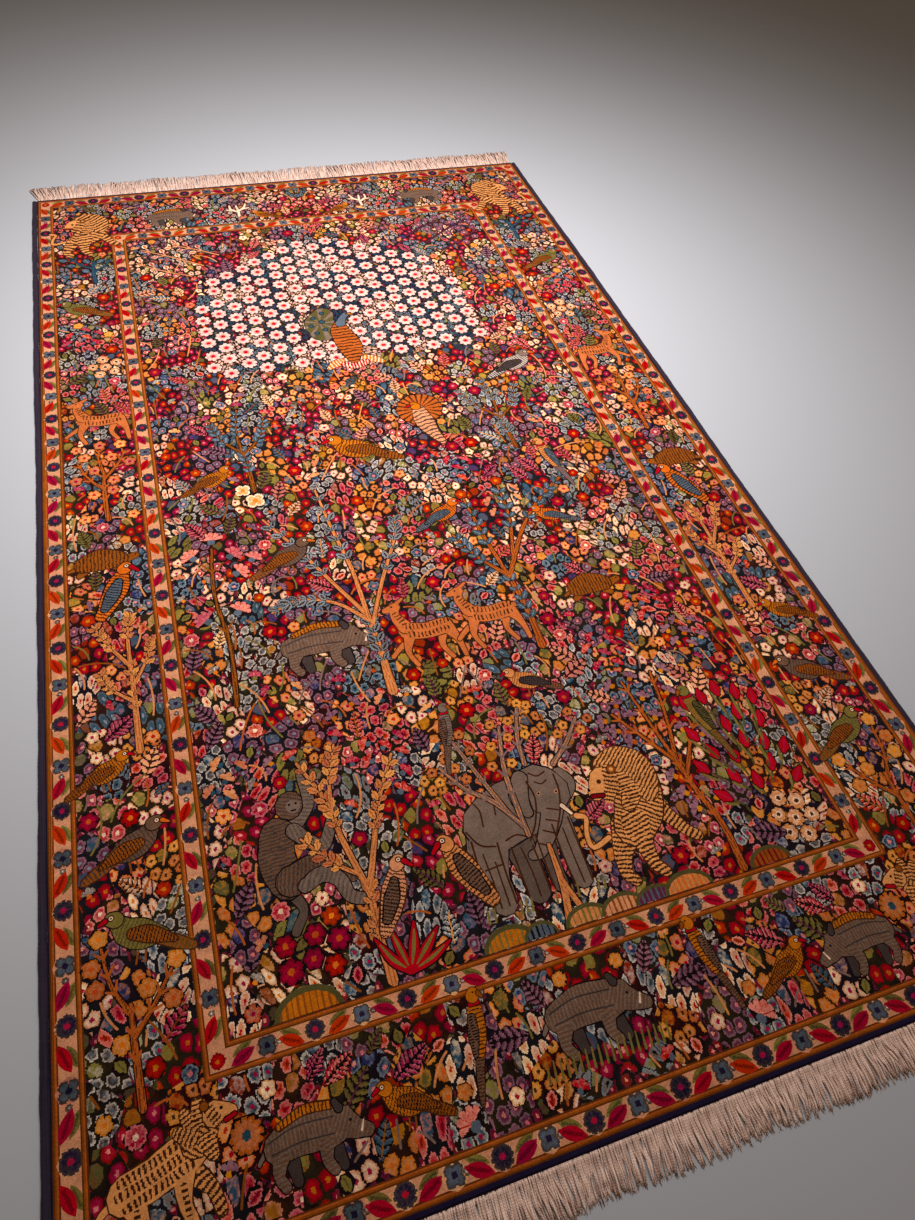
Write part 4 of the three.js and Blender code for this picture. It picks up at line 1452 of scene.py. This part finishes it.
def knotted_wool(name, back=False):
    """Wool whose every knot takes the dye that its patch's motif gives it; paler and ribbed on the back."""
    wool = Surface(name, Roughness=0.95, Sheen_Weight=0.02, Sheen_Roughness=0.5, Specular_IOR_Level=0.05)
    place = wool.node("ShaderNodeTexCoord", output="Object")
    drift = wool.noise(place, DRIFT_GRAIN).also("Color")
    shifted = wool.vector("MULTIPLY_ADD", wool.vector("SUBTRACT", drift, (0.5, 0.5, 0.5)),
                          (STRAY * MM, STRAY * MM, 0), place)
    knot = wool.vector("ADD", wool.vector("SNAP", shifted, (KNOT * MM, KNOT * MM, 1)),
                       (KNOT * MM / 2, KNOT * MM / 2, 0))
    kx, ky, _ = wool.parts(knot)
    cx, cy, turn = wool.parts(wool.attribute("motif_place", "Vector"))
    size, count, depth = wool.parts(wool.attribute("motif_shape", "Vector"))
    form = wool.attribute("motif_form", "Fac")
    dx, dy = kx - cx, ky - cy
    cosine, sine = turn.sum("COSINE"), turn.sum("SINE")
    u = (dx * cosine + dy * sine) / size
    v = (dy * cosine - dx * sine) / size
    reach = (u * u + v * v).sum("SQRT")
    angle = v.sum("ARCTAN2", u)

    def of_form(name):
        return abs(form - float(FORMS.index(name))) < 0.5

    petal = abs((angle * count * 0.5).sum("COSINE"))
    petal_edge = 1.0 - depth * (1.0 - petal.sum("SQRT"))
    bloom, daisy = of_form("bloom"), of_form("daisy")
    bloom_fill = (reach < petal_edge * BLOOM_REACH) * (bloom + daisy)
    bloom_rim = (reach > petal_edge - RIM) * bloom_fill * bloom
    bloom_vein = (petal < VEIN) * (reach > VEIN_START) * bloom_fill * bloom
    bloom_heart = (reach < BLOOM_HEART) * bloom_fill
    daisy_ring = (reach < DAISY_RING) * bloom_fill * daisy

    leaf = of_form("leaf")
    blade = (1.0 - u * u) * count
    leaf_fill = (abs(v) < blade) * leaf
    leaf_rim = (abs(v) > blade - RIM) * leaf_fill
    leaf_heart = (abs(v) < depth) * (abs(u) < LEAF_HEART_REACH) * leaf_fill

    sprig = of_form("sprig")
    stem = (abs(v) < SPRIG_STEM) * (abs(u) < SPRIG_STEM_REACH) * sprig
    step = ((u - abs(v) * LEAFLET_SLANT) * count * 0.5 + FAR_ROUND).sum("FRACT") - 0.5
    taper = LEAFLET_TAPER - abs(u)
    leaflet_across = (abs(v) - LEAFLET_OUT * taper) / (LEAFLET_HALF * taper)
    leaflet_round = step * step * LEAFLET_ROUND + leaflet_across * leaflet_across
    leaflet = (leaflet_round < 1.0) * (abs(u) < LEAFLET_REACH) * sprig
    leaflet_rim = (step > LEAFLET_RIM) * leaflet

    fan = of_form("fan")
    lobe = abs((angle * count).sum("COSINE"))
    fan_edge = 1.0 - depth * (1.0 - lobe.sum("SQRT"))
    fan_fill = (reach < fan_edge) * (abs(angle) < FAN_SPREAD) * fan
    fan_rim = (lobe < FAN_VEIN) * fan_fill
    behind = u + CALYX_BACK
    calyx = (behind * behind + v * v < CALYX_SIZE) * (u < CALYX_END) * fan

    coat = of_form("coat")
    blotch = wool.noise(place, BLOTCH_GRAIN) - 0.5
    wave = blotch * depth * STRIPE_STRAY
    stripe = abs((u + wave + FAR_ROUND).sum("FRACT") - 0.5) < STRIPE_HALF * count
    rays = of_form("rays")
    ray = (angle * count).sum("COSINE") > RAY_START

    # A posy: many small flowers side by side, each in a cell of its own, and some leaves among them.
    posy = of_form("posy")
    long = count < LEAF_LIKE
    su, sv = u * (CELL_ALONG - CELL_LONGER * long), v * (CELL_ACROSS + CELL_NARROWER * long)
    spot = wool.node("ShaderNodeCombineXYZ", {}, (su, sv, 0.0))
    cell = wool.node("ShaderNodeTexVoronoi", {"voronoi_dimensions": "2D"},
                     {"Vector": spot, "Scale": 1.0, "Randomness": POSY_STRAY}, "Position")
    room = wool.node("ShaderNodeTexVoronoi", {"voronoi_dimensions": "2D", "feature": "DISTANCE_TO_EDGE"},
                     {"Vector": spot, "Scale": 1.0, "Randomness": POSY_STRAY})
    pick, turned, shade = wool.parts(cell.also("Color"))
    px, py, _ = wool.parts(cell)
    cu, cv = su - px, sv - py
    cell_reach = (cu * cu + cv * cv).sum("SQRT")
    cell_angle = cv.sum("ARCTAN2", cu)
    cell_petal = abs((cell_angle * count * 0.5 + turned * CELL_TURN).sum("COSINE"))
    leafy = (pick > CELL_LEAFY) * posy
    notch = depth * CELL_NOTCH * (1.0 - cell_petal.sum("SQRT")) * cell_reach
    apart = (cy + CLOTH_HALF) * POSY_APART + POSY_GAP
    room = (room - apart).sum("MINIMUM", CELL_REACH - apart - cell_reach) - notch * (1.0 - leafy)
    posy_fill = (room > 0.0) * posy
    posy_rim = (1.0 - (room - CELL_RIM_START) / CELL_RIM_WIDTH).clamp() * posy_fill
    posy_heart = (cell_reach < CELL_HEART) * posy_fill * (1.0 - leafy)

    fill = bloom_fill + leaf_fill + leaflet + fan_fill + coat + rays + posy_fill
    heart = bloom_heart + leaf_heart + stem + calyx + stripe * coat + ray * rays + posy_heart
    rim = bloom_rim + bloom_vein + daisy_ring + leaf_rim + leaflet_rim + fan_rim + posy_rim * (1.0 - leafy)
    dyes = {part: wool.attribute(f"dye_{part}", "Color") for part in DYED_PARTS}
    dyes["fill"] = wool.mix(leafy, dyes["fill"], dyes["leaf"])
    dyes["ground"] = wool.mix(posy * CELL_GROUND_LEAF, dyes["ground"], dyes["leaf"])
    mingle = ((wool.noise(place, MINGLE_GRAIN) - MINGLE_START) * MINGLE_RISE).clamp(MINGLE_MOST)
    colour = wool.mix(fill.sum("MINIMUM", 1.0), dyes["ground"], wool.mix(mingle, dyes["fill"], dyes["rim"]))
    rim_dye = wool.mix(mingle * MINGLE_RIM, dyes["rim"], dyes["fill"])
    colour = wool.mix(rim.sum("MINIMUM", 1.0), colour, rim_dye)
    colour = wool.mix(heart.sum("MINIMUM", 1.0), colour, dyes["heart"])

    raised_share = bloom + leaf + fan + sprig + posy
    tone = wool.node("ShaderNodeTexWhiteNoise", {"noise_dimensions": "2D"}, {"Vector": knot})
    bands = wool.noise(wool.vector("MULTIPLY", place, BAND_GRAIN), 1.0)
    fibre = wool.noise(place, FIBRE_GRAIN, 3.0)
    own = wool.node("ShaderNodeTexWhiteNoise", {"noise_dimensions": "2D"},
                    {"Vector": wool.attribute("motif_place", "Vector")})
    own = (own + (shade - own) * posy - 0.5) * raised_share
    strength = (DYE_BASE + tone * DYE_KNOT + fibre * DYE_FIBRE + (bands - 0.5) * DYE_BAND
                + own * DYE_OWN + blotch * DYE_BLOTCH)
    colour = wool.node("ShaderNodeHueSaturation", {}, {
        "Hue": HUE_MIDDLE + own * HUE_OWN, "Saturation": PILE_SATURATION, "Value": strength, "Color": colour,
    })
    wool.wear("Base Color", colour)
    if back:
        pale = wool.node("ShaderNodeHueSaturation", {}, {
            "Saturation": BACK_SATURATION, "Value": BACK_VALUE, "Color": colour,
        })
        ribs = abs((kx * (math.pi / (KNOT * MM))).sum("SINE"))
        wool.wear("Base Color", pale)
        wool.bump(ribs + tone * BACK_KNOT_BUMP + fibre * BACK_FIBRE_BUMP, BACK_BUMP * MM)
    else:
        raised = (fill + heart).sum("MINIMUM", 1.0)
        wool.bump(raised * RAISED_BUMP + tone * KNOT_BUMP + fibre * FIBRE_BUMP, PILE_BUMP * MM)
    return wool.material


def tube_faces(tubes, stations, sides, first=0):
    """The faces of closed tubes, whose points run round each ring, ring after ring, tube after tube."""
    index = first + np.arange(tubes * stations * sides).reshape(tubes, stations, sides)
    ahead = np.roll(index, -1, 2)
    quads = np.stack([index[:, :-1], ahead[:, :-1], ahead[:, 1:], index[:, 1:]], -1).reshape(-1, 4)
    return quads.tolist() + index[:, 0, ::-1].tolist() + index[:, -1].tolist()


def tube_piece(name, parts):
    """One piece of several sets of tubes: rings of points in metres, and each point's place on its yarn."""
    faces, first = [], 0
    for rings, _ in parts:
        faces += tube_faces(*rings.shape[:3], first)
        first += rings[..., 0].size
    mesh = bpy.data.meshes.new(name)
    mesh.from_pydata(np.vstack([rings.reshape(-1, 3) for rings, _ in parts]).tolist(), [], faces)
    places = np.vstack([place.reshape(-1, 3) for _, place in parts])
    mesh.attributes.new("yarn_place", "FLOAT_VECTOR", "POINT").data.foreach_set("vector", places.ravel())
    mesh.polygons.foreach_set("use_smooth", np.ones(len(mesh.polygons), bool))
    piece = bpy.data.objects.new(name, mesh)
    bpy.context.scene.collection.objects.link(piece)
    return piece


# The overcast edge: wool wrapped round a cord along each long side.
WRAP_PITCH = 2.4
WRAP_SIDES = 10
WRAP_DIP = 0.1
SELVEDGE_HALF, SELVEDGE_RISE = 6.3, 4.0
SELVEDGE_START = 0.4
SELVEDGE_SQUARE, SELVEDGE_TOP = 0.85, 0.96
WRAP_SLANT, WRAP_END = 1.1, 4

# Lumps of the cord: the share of its girth, the pitch in millimetres, and how far the two sides differ.
LUMPS = ((0.05, 23, 1), (0.04, 9.1, 0))
LUMP_STRAY = 0.03

# No yarn comes nearer to the floor than this, in millimetres.
SELVEDGE_FOOT, FRINGE_FOOT = 0.1, 0.05


def rounded(wave):
    """A sine or cosine with flatter tops, for a section between round and square."""
    return np.sign(wave) * abs(wave) ** SELVEDGE_SQUARE


def overcast_edge(name, side):
    """The cord along one long side, thinner between the turns of its wrap."""
    stations = int(2 * HALF_LENGTH / WRAP_PITCH) * 2 + 1
    along = np.linspace(-HALF_LENGTH, HALF_LENGTH, stations)[:, None]
    turn = (np.arange(WRAP_SIDES) * 2 * math.pi / WRAP_SIDES)[None, :]
    lump = 1 + sum(height * np.sin(along / pitch + shift * side) for height, pitch, shift in LUMPS)
    lump = lump + rng.normal(0, LUMP_STRAY, along.shape)
    size = lump * (1 - WRAP_DIP * (np.arange(stations) % 2))[:, None]
    out = rounded(np.sin(turn)) * SELVEDGE_HALF * size
    up = np.maximum(SELVEDGE_RISE * (1 + rounded(np.cos(turn)) * size * SELVEDGE_TOP), SELVEDGE_FOOT)
    edge = np.interp(along[:, 0], *EDGES[side])[:, None] * side
    x = edge + side * (SELVEDGE_START + SELVEDGE_HALF) + out
    y = along + WRAP_SLANT * side * np.sin(turn) * (abs(along) < HALF_LENGTH - WRAP_END)
    rings = np.stack([x, y + CLOTH_MIDDLE_Y / MM, up + 0 * along], -1) * MM
    place = np.stack([np.cos(turn) + 0 * along, np.sin(turn) + 0 * along, along + 0 * turn], -1)
    return tube_piece(name, [(rings[None], place[None])])


# The fringe: warp ends out of a narrow strip of plain weave at each end of the cloth.
STRANDS = 960
STRAND_STATIONS, STRAND_SIDES = 10, 6
STRAND_RADIUS = 1.4
STRAND_ROOT_HEIGHT = 2.9
FRINGE_HALF = 681.0
BUNDLE = 10.0
FRINGE_PUFF_FAR, FRINGE_PUFF_NEAR = 13.0, 6.5
SPLAY_FROM, SPLAY_LEFT, SPLAY_RIGHT = 560.0, 30.0, 16.0
ROOT_STRAY = 4.2
FRINGE_GAP = 0.4

# How a strand lies: its stray at the root, its lean in two waves, its pull to a bundle, its reach and sway.
ROOT_SCATTER = 0.35
LEAN_WAVES = ((6, 41, 1), (4, 15.3, 2))
LEAN_STRAY, LEAN_BEND = 2.4, 1.5
LOOSE_NEAR = 0.75
BUNDLE_WAVE, BUNDLE_WAVE_PITCH, BUNDLE_PULL = 3, 19, 0.45
REACH_MIDDLE, REACH_WAVE, REACH_WAVE_PITCH = 0.97, 0.04, 33
REACH_STRAY = (-0.13, 0.05)
SWAY, SWAY_TURNS = 0.9, (4, 9)
SETTLE_LENGTH = 16
PUFF_MIDDLE, PUFF_WAVE, PUFF_WAVE_PITCH = 0.75, 0.25, 27
CREST_STRAY = (0.8, 2.2)
STRAND_TAPER, GIRTH_STRAY = 0.16, (0.72, 1.14)

# The fibres that part at the tip of a strand.
FRAYS, FRAY_STATIONS, FRAY_SIDES = 2, 3, 4
FRAY_FAN, FRAY_RUN, FRAY_BACK, FRAY_FALL = 2.2, (3, 7), 1.5, 0.7
FRAY_RADIUS, FRAY_TAPER = 0.5, 0.32

# The cords of plain weave that the strands come out of.
WEFT_CORDS, WEFT_SIDES = 3, 6
WEFT_RADIUS, WEFT_TALLER = 1.25, 1.1
WEFT_FIRST, WEFT_PITCH, WEFT_HEIGHT = 0.9, 2.0, 2.6
WEFT_WAVE, WEFT_PAST = 0.45, 1.5


def ring_tubes(x, y, z, radius, sides, end):
    """Rings round lines that run towards one end of the cloth, and each point's place on its yarn."""
    turn = np.arange(sides) * 2 * math.pi / sides
    rings = np.stack([
        x[..., None] + end * radius[..., None] * np.sin(turn),
        y[..., None] + CLOTH_MIDDLE_Y / MM + 0 * turn,
        np.maximum(z[..., None] + radius[..., None] * np.cos(turn), FRINGE_FOOT),
    ], -1) * MM
    spread = np.ones_like(x)[..., None]
    place = np.stack([spread * np.cos(turn), spread * np.sin(turn), spread * 0 * turn + y[..., None]], -1)
    return rings, place


def warp_fringe(name, end, length):
    """All the warp ends at one end of the cloth, with their frayed tips and the weave at their roots."""
    share = np.linspace(0, 1, STRAND_STATIONS)[None, :]
    root = np.linspace(-FRINGE_HALF, FRINGE_HALF, STRANDS)[:, None]
    root = root + rng.normal(0, ROOT_SCATTER, root.shape)
    edge = end * (HALF_LENGTH + FRINGE_GAP)
    waves = sum(height * np.sin(root / pitch + shift * end) for height, pitch, shift in LEAN_WAVES)
    bundle = np.round((root + BUNDLE_WAVE * np.sin(root / BUNDLE_WAVE_PITCH)) / BUNDLE) * BUNDLE
    loose = 1 if end > 0 else LOOSE_NEAR
    splay = np.clip((abs(root) - SPLAY_FROM) / (FRINGE_HALF - SPLAY_FROM), 0, 1) ** 3
    splay = splay * np.where(root < 0, -SPLAY_LEFT, SPLAY_RIGHT)
    lean = waves + rng.normal(0, LEAN_STRAY, root.shape) + BUNDLE_PULL * (bundle - root)
    lean = lean * loose + splay
    reach = REACH_MIDDLE + REACH_WAVE * np.sin(root / REACH_WAVE_PITCH)
    reach = length * (reach + rng.uniform(*REACH_STRAY, root.shape))
    sway = rng.normal(0, SWAY, root.shape) * np.sin(share * rng.uniform(*SWAY_TURNS, root.shape))
    x = root + lean * share ** LEAN_BEND + sway
    y = edge + end * reach * share
    settle = np.clip(reach * share / SETTLE_LENGTH, 0, 1)
    settle = settle * settle * (3 - 2 * settle)
    puff = FRINGE_PUFF_FAR if end > 0 else FRINGE_PUFF_NEAR
    puff = puff * (PUFF_MIDDLE + PUFF_WAVE * np.sin(root / PUFF_WAVE_PITCH + 1))
    crest = share ** rng.uniform(*CREST_STRAY, root.shape)
    hump = rng.uniform(0, 1, root.shape) * puff * np.sin(math.pi * crest) ** 2
    radius = STRAND_RADIUS * (1 - STRAND_TAPER * share ** 3) * rng.uniform(*GIRTH_STRAY, root.shape)
    root_height = STRAND_ROOT_HEIGHT + rng.uniform(0, ROOT_STRAY, root.shape)
    z = root_height + (STRAND_RADIUS - root_height) * settle + hump
    strands = ring_tubes(x, y, z, radius, STRAND_SIDES, end)

    fray = np.linspace(0, 1, FRAY_STATIONS)[None, :]
    tips = np.repeat(np.arange(STRANDS), FRAYS)
    fan = rng.normal(0, FRAY_FAN, (len(tips), 1))
    run = rng.uniform(*FRAY_RUN, (len(tips), 1))
    start = x[tips, -2][:, None]
    fray_x = start + fan * fray + (x[tips, -1:] - start) * fray
    fray_y = y[tips, -1:] - end * FRAY_BACK + end * run * fray
    fray_z = z[tips, -1:] * (1 - FRAY_FALL * fray)
    fray_radius = FRAY_RADIUS - FRAY_TAPER * fray + 0 * fray_x
    frays = ring_tubes(fray_x, fray_y, fray_z, fray_radius, FRAY_SIDES, end)

    turn = np.arange(WEFT_SIDES) * 2 * math.pi / WEFT_SIDES
    cord = np.arange(WEFT_CORDS)[:, None]
    along = np.linspace(-FRINGE_HALF - WEFT_PAST, FRINGE_HALF + WEFT_PAST, STRANDS)[None, :] + 0 * cord
    over = WEFT_WAVE * np.cos(math.pi * (np.arange(STRANDS)[None, :] + cord))
    middle_y = edge + end * (WEFT_FIRST + cord * WEFT_PITCH) + CLOTH_MIDDLE_Y / MM
    cords = np.stack([
        along[..., None] + 0 * turn,
        (middle_y + 0 * along)[..., None] + WEFT_RADIUS * np.cos(turn),
        np.maximum((WEFT_HEIGHT + over)[..., None] + WEFT_RADIUS * WEFT_TALLER * np.sin(turn), FRINGE_FOOT),
    ], -1) * MM
    cord_place = np.stack([np.cos(turn) + 0 * cords[..., 0], np.sin(turn) + 0 * cords[..., 0],
                           along[..., None] + 0 * turn], -1)
    return tube_piece(name, [strands, frays, (cords, cord_place)])


# Grain of the yarn, and how light each kind of unevenness makes it. Warp ends darken towards the tip.
UNEVEN_GRAIN, YARN_FIBRE_GRAIN, STRAND_GRAIN = 90.0, 900.0, (600.0, 9.0, 1.0)
PLY_LIGHT, UNEVEN_LIGHT, FIBRE_LIGHT, STRAND_LIGHT, YARN_DARK = 0.55, 0.75, 0.3, 2.8, 1.55
TIP_SHADE, TIP_SHADE_LENGTH = 0.16, 60.0
PLY_BUMP, YARN_FIBRE_BUMP = 0.7, 0.5


def yarn(name, light, dark, twist, bump):
    """Plied yarn: fine twisted lines along it, uneven dye and stray fibre."""
    wool = Surface(name, Roughness=0.9, Sheen_Weight=0.05, Sheen_Roughness=0.5, Specular_IOR_Level=0.2)
    place = wool.node("ShaderNodeTexCoord", output="Object")
    cosine, sine, along = wool.parts(wool.attribute("yarn_place", "Vector"))
    turn = along * twist
    ply = abs(cosine * turn.sum("COSINE") + sine * turn.sum("SINE"))
    uneven = wool.noise(place, UNEVEN_GRAIN, 4.0)
    fibre = wool.noise(place, YARN_FIBRE_GRAIN, 3.0)
    strand = wool.noise(wool.vector("MULTIPLY", place, STRAND_GRAIN), 1.0)
    tip = ((abs(along) - HALF_LENGTH) * (1 / TIP_SHADE_LENGTH)).clamp()
    share = ply * PLY_LIGHT + uneven * UNEVEN_LIGHT + fibre * FIBRE_LIGHT + strand * STRAND_LIGHT
    share = (share - YARN_DARK - tip * TIP_SHADE).clamp()
    wool.wear("Base Color", wool.mix(share, (*linear(*dark), 1), (*linear(*light), 1)))
    wool.bump(ply * PLY_BUMP + fibre * YARN_FIBRE_BUMP, bump)
    return wool.material


sheet = woven_pattern()
rug_pile = woven_slab("rug_pile", sheet, True,
                      [(CLOTH_TOP, 0), (CLOTH_TOP - PILE_SLOPE * MM, PILE_SLOPE * MM),
                       (BACK_THICKNESS * MM, PILE_SLOPE * MM)])
rug_pile.data.materials.append(knotted_wool("knotted_wool"))
rug_back = woven_slab("rug_back", sheet, False, [(0, 0), ((BACK_THICKNESS - BACK_GAP) * MM, 0)])
rug_back.data.materials.append(knotted_wool("woven_back", back=True))
edge_wool = yarn("edge_wool", light=(44, 33, 50), dark=(20, 13, 22), twist=0.0, bump=0.3 * MM)
warp_cotton = yarn("warp_cotton", light=(252, 222, 204), dark=(124, 82, 64), twist=1.05, bump=0.25 * MM)
FRINGE_FAR, FRINGE_NEAR = 84, 52
trimmings = {
    "selvedge_left": (overcast_edge("overcast_left", -1), "selvedge", edge_wool),
    "selvedge_right": (overcast_edge("overcast_right", 1), "selvedge", edge_wool),
    "fringe_far": (warp_fringe("warp_ends_far", 1, FRINGE_FAR), "fringe", warp_cotton),
    "fringe_near": (warp_fringe("warp_ends_near", -1, FRINGE_NEAR), "fringe", warp_cotton),
}
for piece in (rug_pile, rug_back):
    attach(piece, "root")
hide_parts("rug_body")
for node, (piece, slot, material) in trimmings.items():
    piece.data.materials.append(material)
    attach(piece, "root")
    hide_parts(node)


# Floor, light and camera.
CAMERA_FROM_CLOTH = Vector((-0.3084, -1.1427, 1.1337))
CAMERA_RIGHT = Vector((0.95166, -0.29975, 0.06706))
CAMERA_UP = Vector((0.20685, 0.78681, 0.58150))
CAMERA_FORWARD = Vector((0.22707, 0.53952, -0.81077))
CAMERA_LENS, CAMERA_SENSOR = 22.91, 36
FLOOR_SIZE, FLOOR_PLACE, FLOOR_COLOUR = 14, (0, 1, -0.0004), (0.42, 0.44, 0.47, 1)
ROOM_COLOUR, ROOM_STRENGTH = (1.0, 0.74, 0.52, 1), 0.15
LAMP_PLACE, LAMP_AIM, LAMP_SPREAD = (0.1, 0.5, 1.9), (0.1, 0.51, 0), 118
LAMP_SIZE, LAMP_POWER, LAMP_COLOUR = 1.1, 38, (1.0, 0.95, 0.95)


def set_camera():
    camera = bpy.data.objects.new("camera", bpy.data.cameras.new("camera"))
    bpy.context.scene.collection.objects.link(camera)
    camera.data.sensor_width = CAMERA_SENSOR
    camera.data.lens = CAMERA_LENS
    turn = Matrix((CAMERA_RIGHT, CAMERA_UP, -CAMERA_FORWARD)).transposed()
    middle = Vector((0, CLOTH_MIDDLE_Y, CLOTH_TOP))
    camera.matrix_world = Matrix.Translation(middle + CAMERA_FROM_CLOTH) @ turn.to_4x4()
    bpy.context.scene.camera = camera


def set_floor():
    bpy.ops.object.select_all(action="DESELECT")
    bpy.ops.mesh.primitive_plane_add(size=FLOOR_SIZE, location=FLOOR_PLACE)
    floor = bpy.context.object
    floor.name = "floor"
    pale = Surface("pale_floor", Roughness=0.7)
    pale.shader.inputs["Base Color"].default_value = FLOOR_COLOUR
    floor.data.materials.append(pale.material)


def set_light():
    """Dim warm light from all sides, and one lamp above the rug."""
    world = bpy.data.worlds.new("studio")
    world.use_nodes = True
    around = world.node_tree.nodes["Background"].inputs
    around["Color"].default_value = ROOM_COLOUR
    around["Strength"].default_value = ROOM_STRENGTH
    bpy.context.scene.world = world
    lamp = bpy.data.lights.new("overhead", "AREA")
    lamp.size = LAMP_SIZE
    lamp.energy = LAMP_POWER
    lamp.color = LAMP_COLOUR
    lamp.spread = math.radians(LAMP_SPREAD)
    overhead = bpy.data.objects.new("overhead", lamp)
    overhead.location = LAMP_PLACE
    overhead.rotation_euler = (Vector(LAMP_AIM) - Vector(LAMP_PLACE)).to_track_quat("-Z", "Y").to_euler()
    bpy.context.scene.collection.objects.link(overhead)
    bpy.context.scene.view_settings.view_transform = "Standard"


set_camera()
set_floor()
set_light()
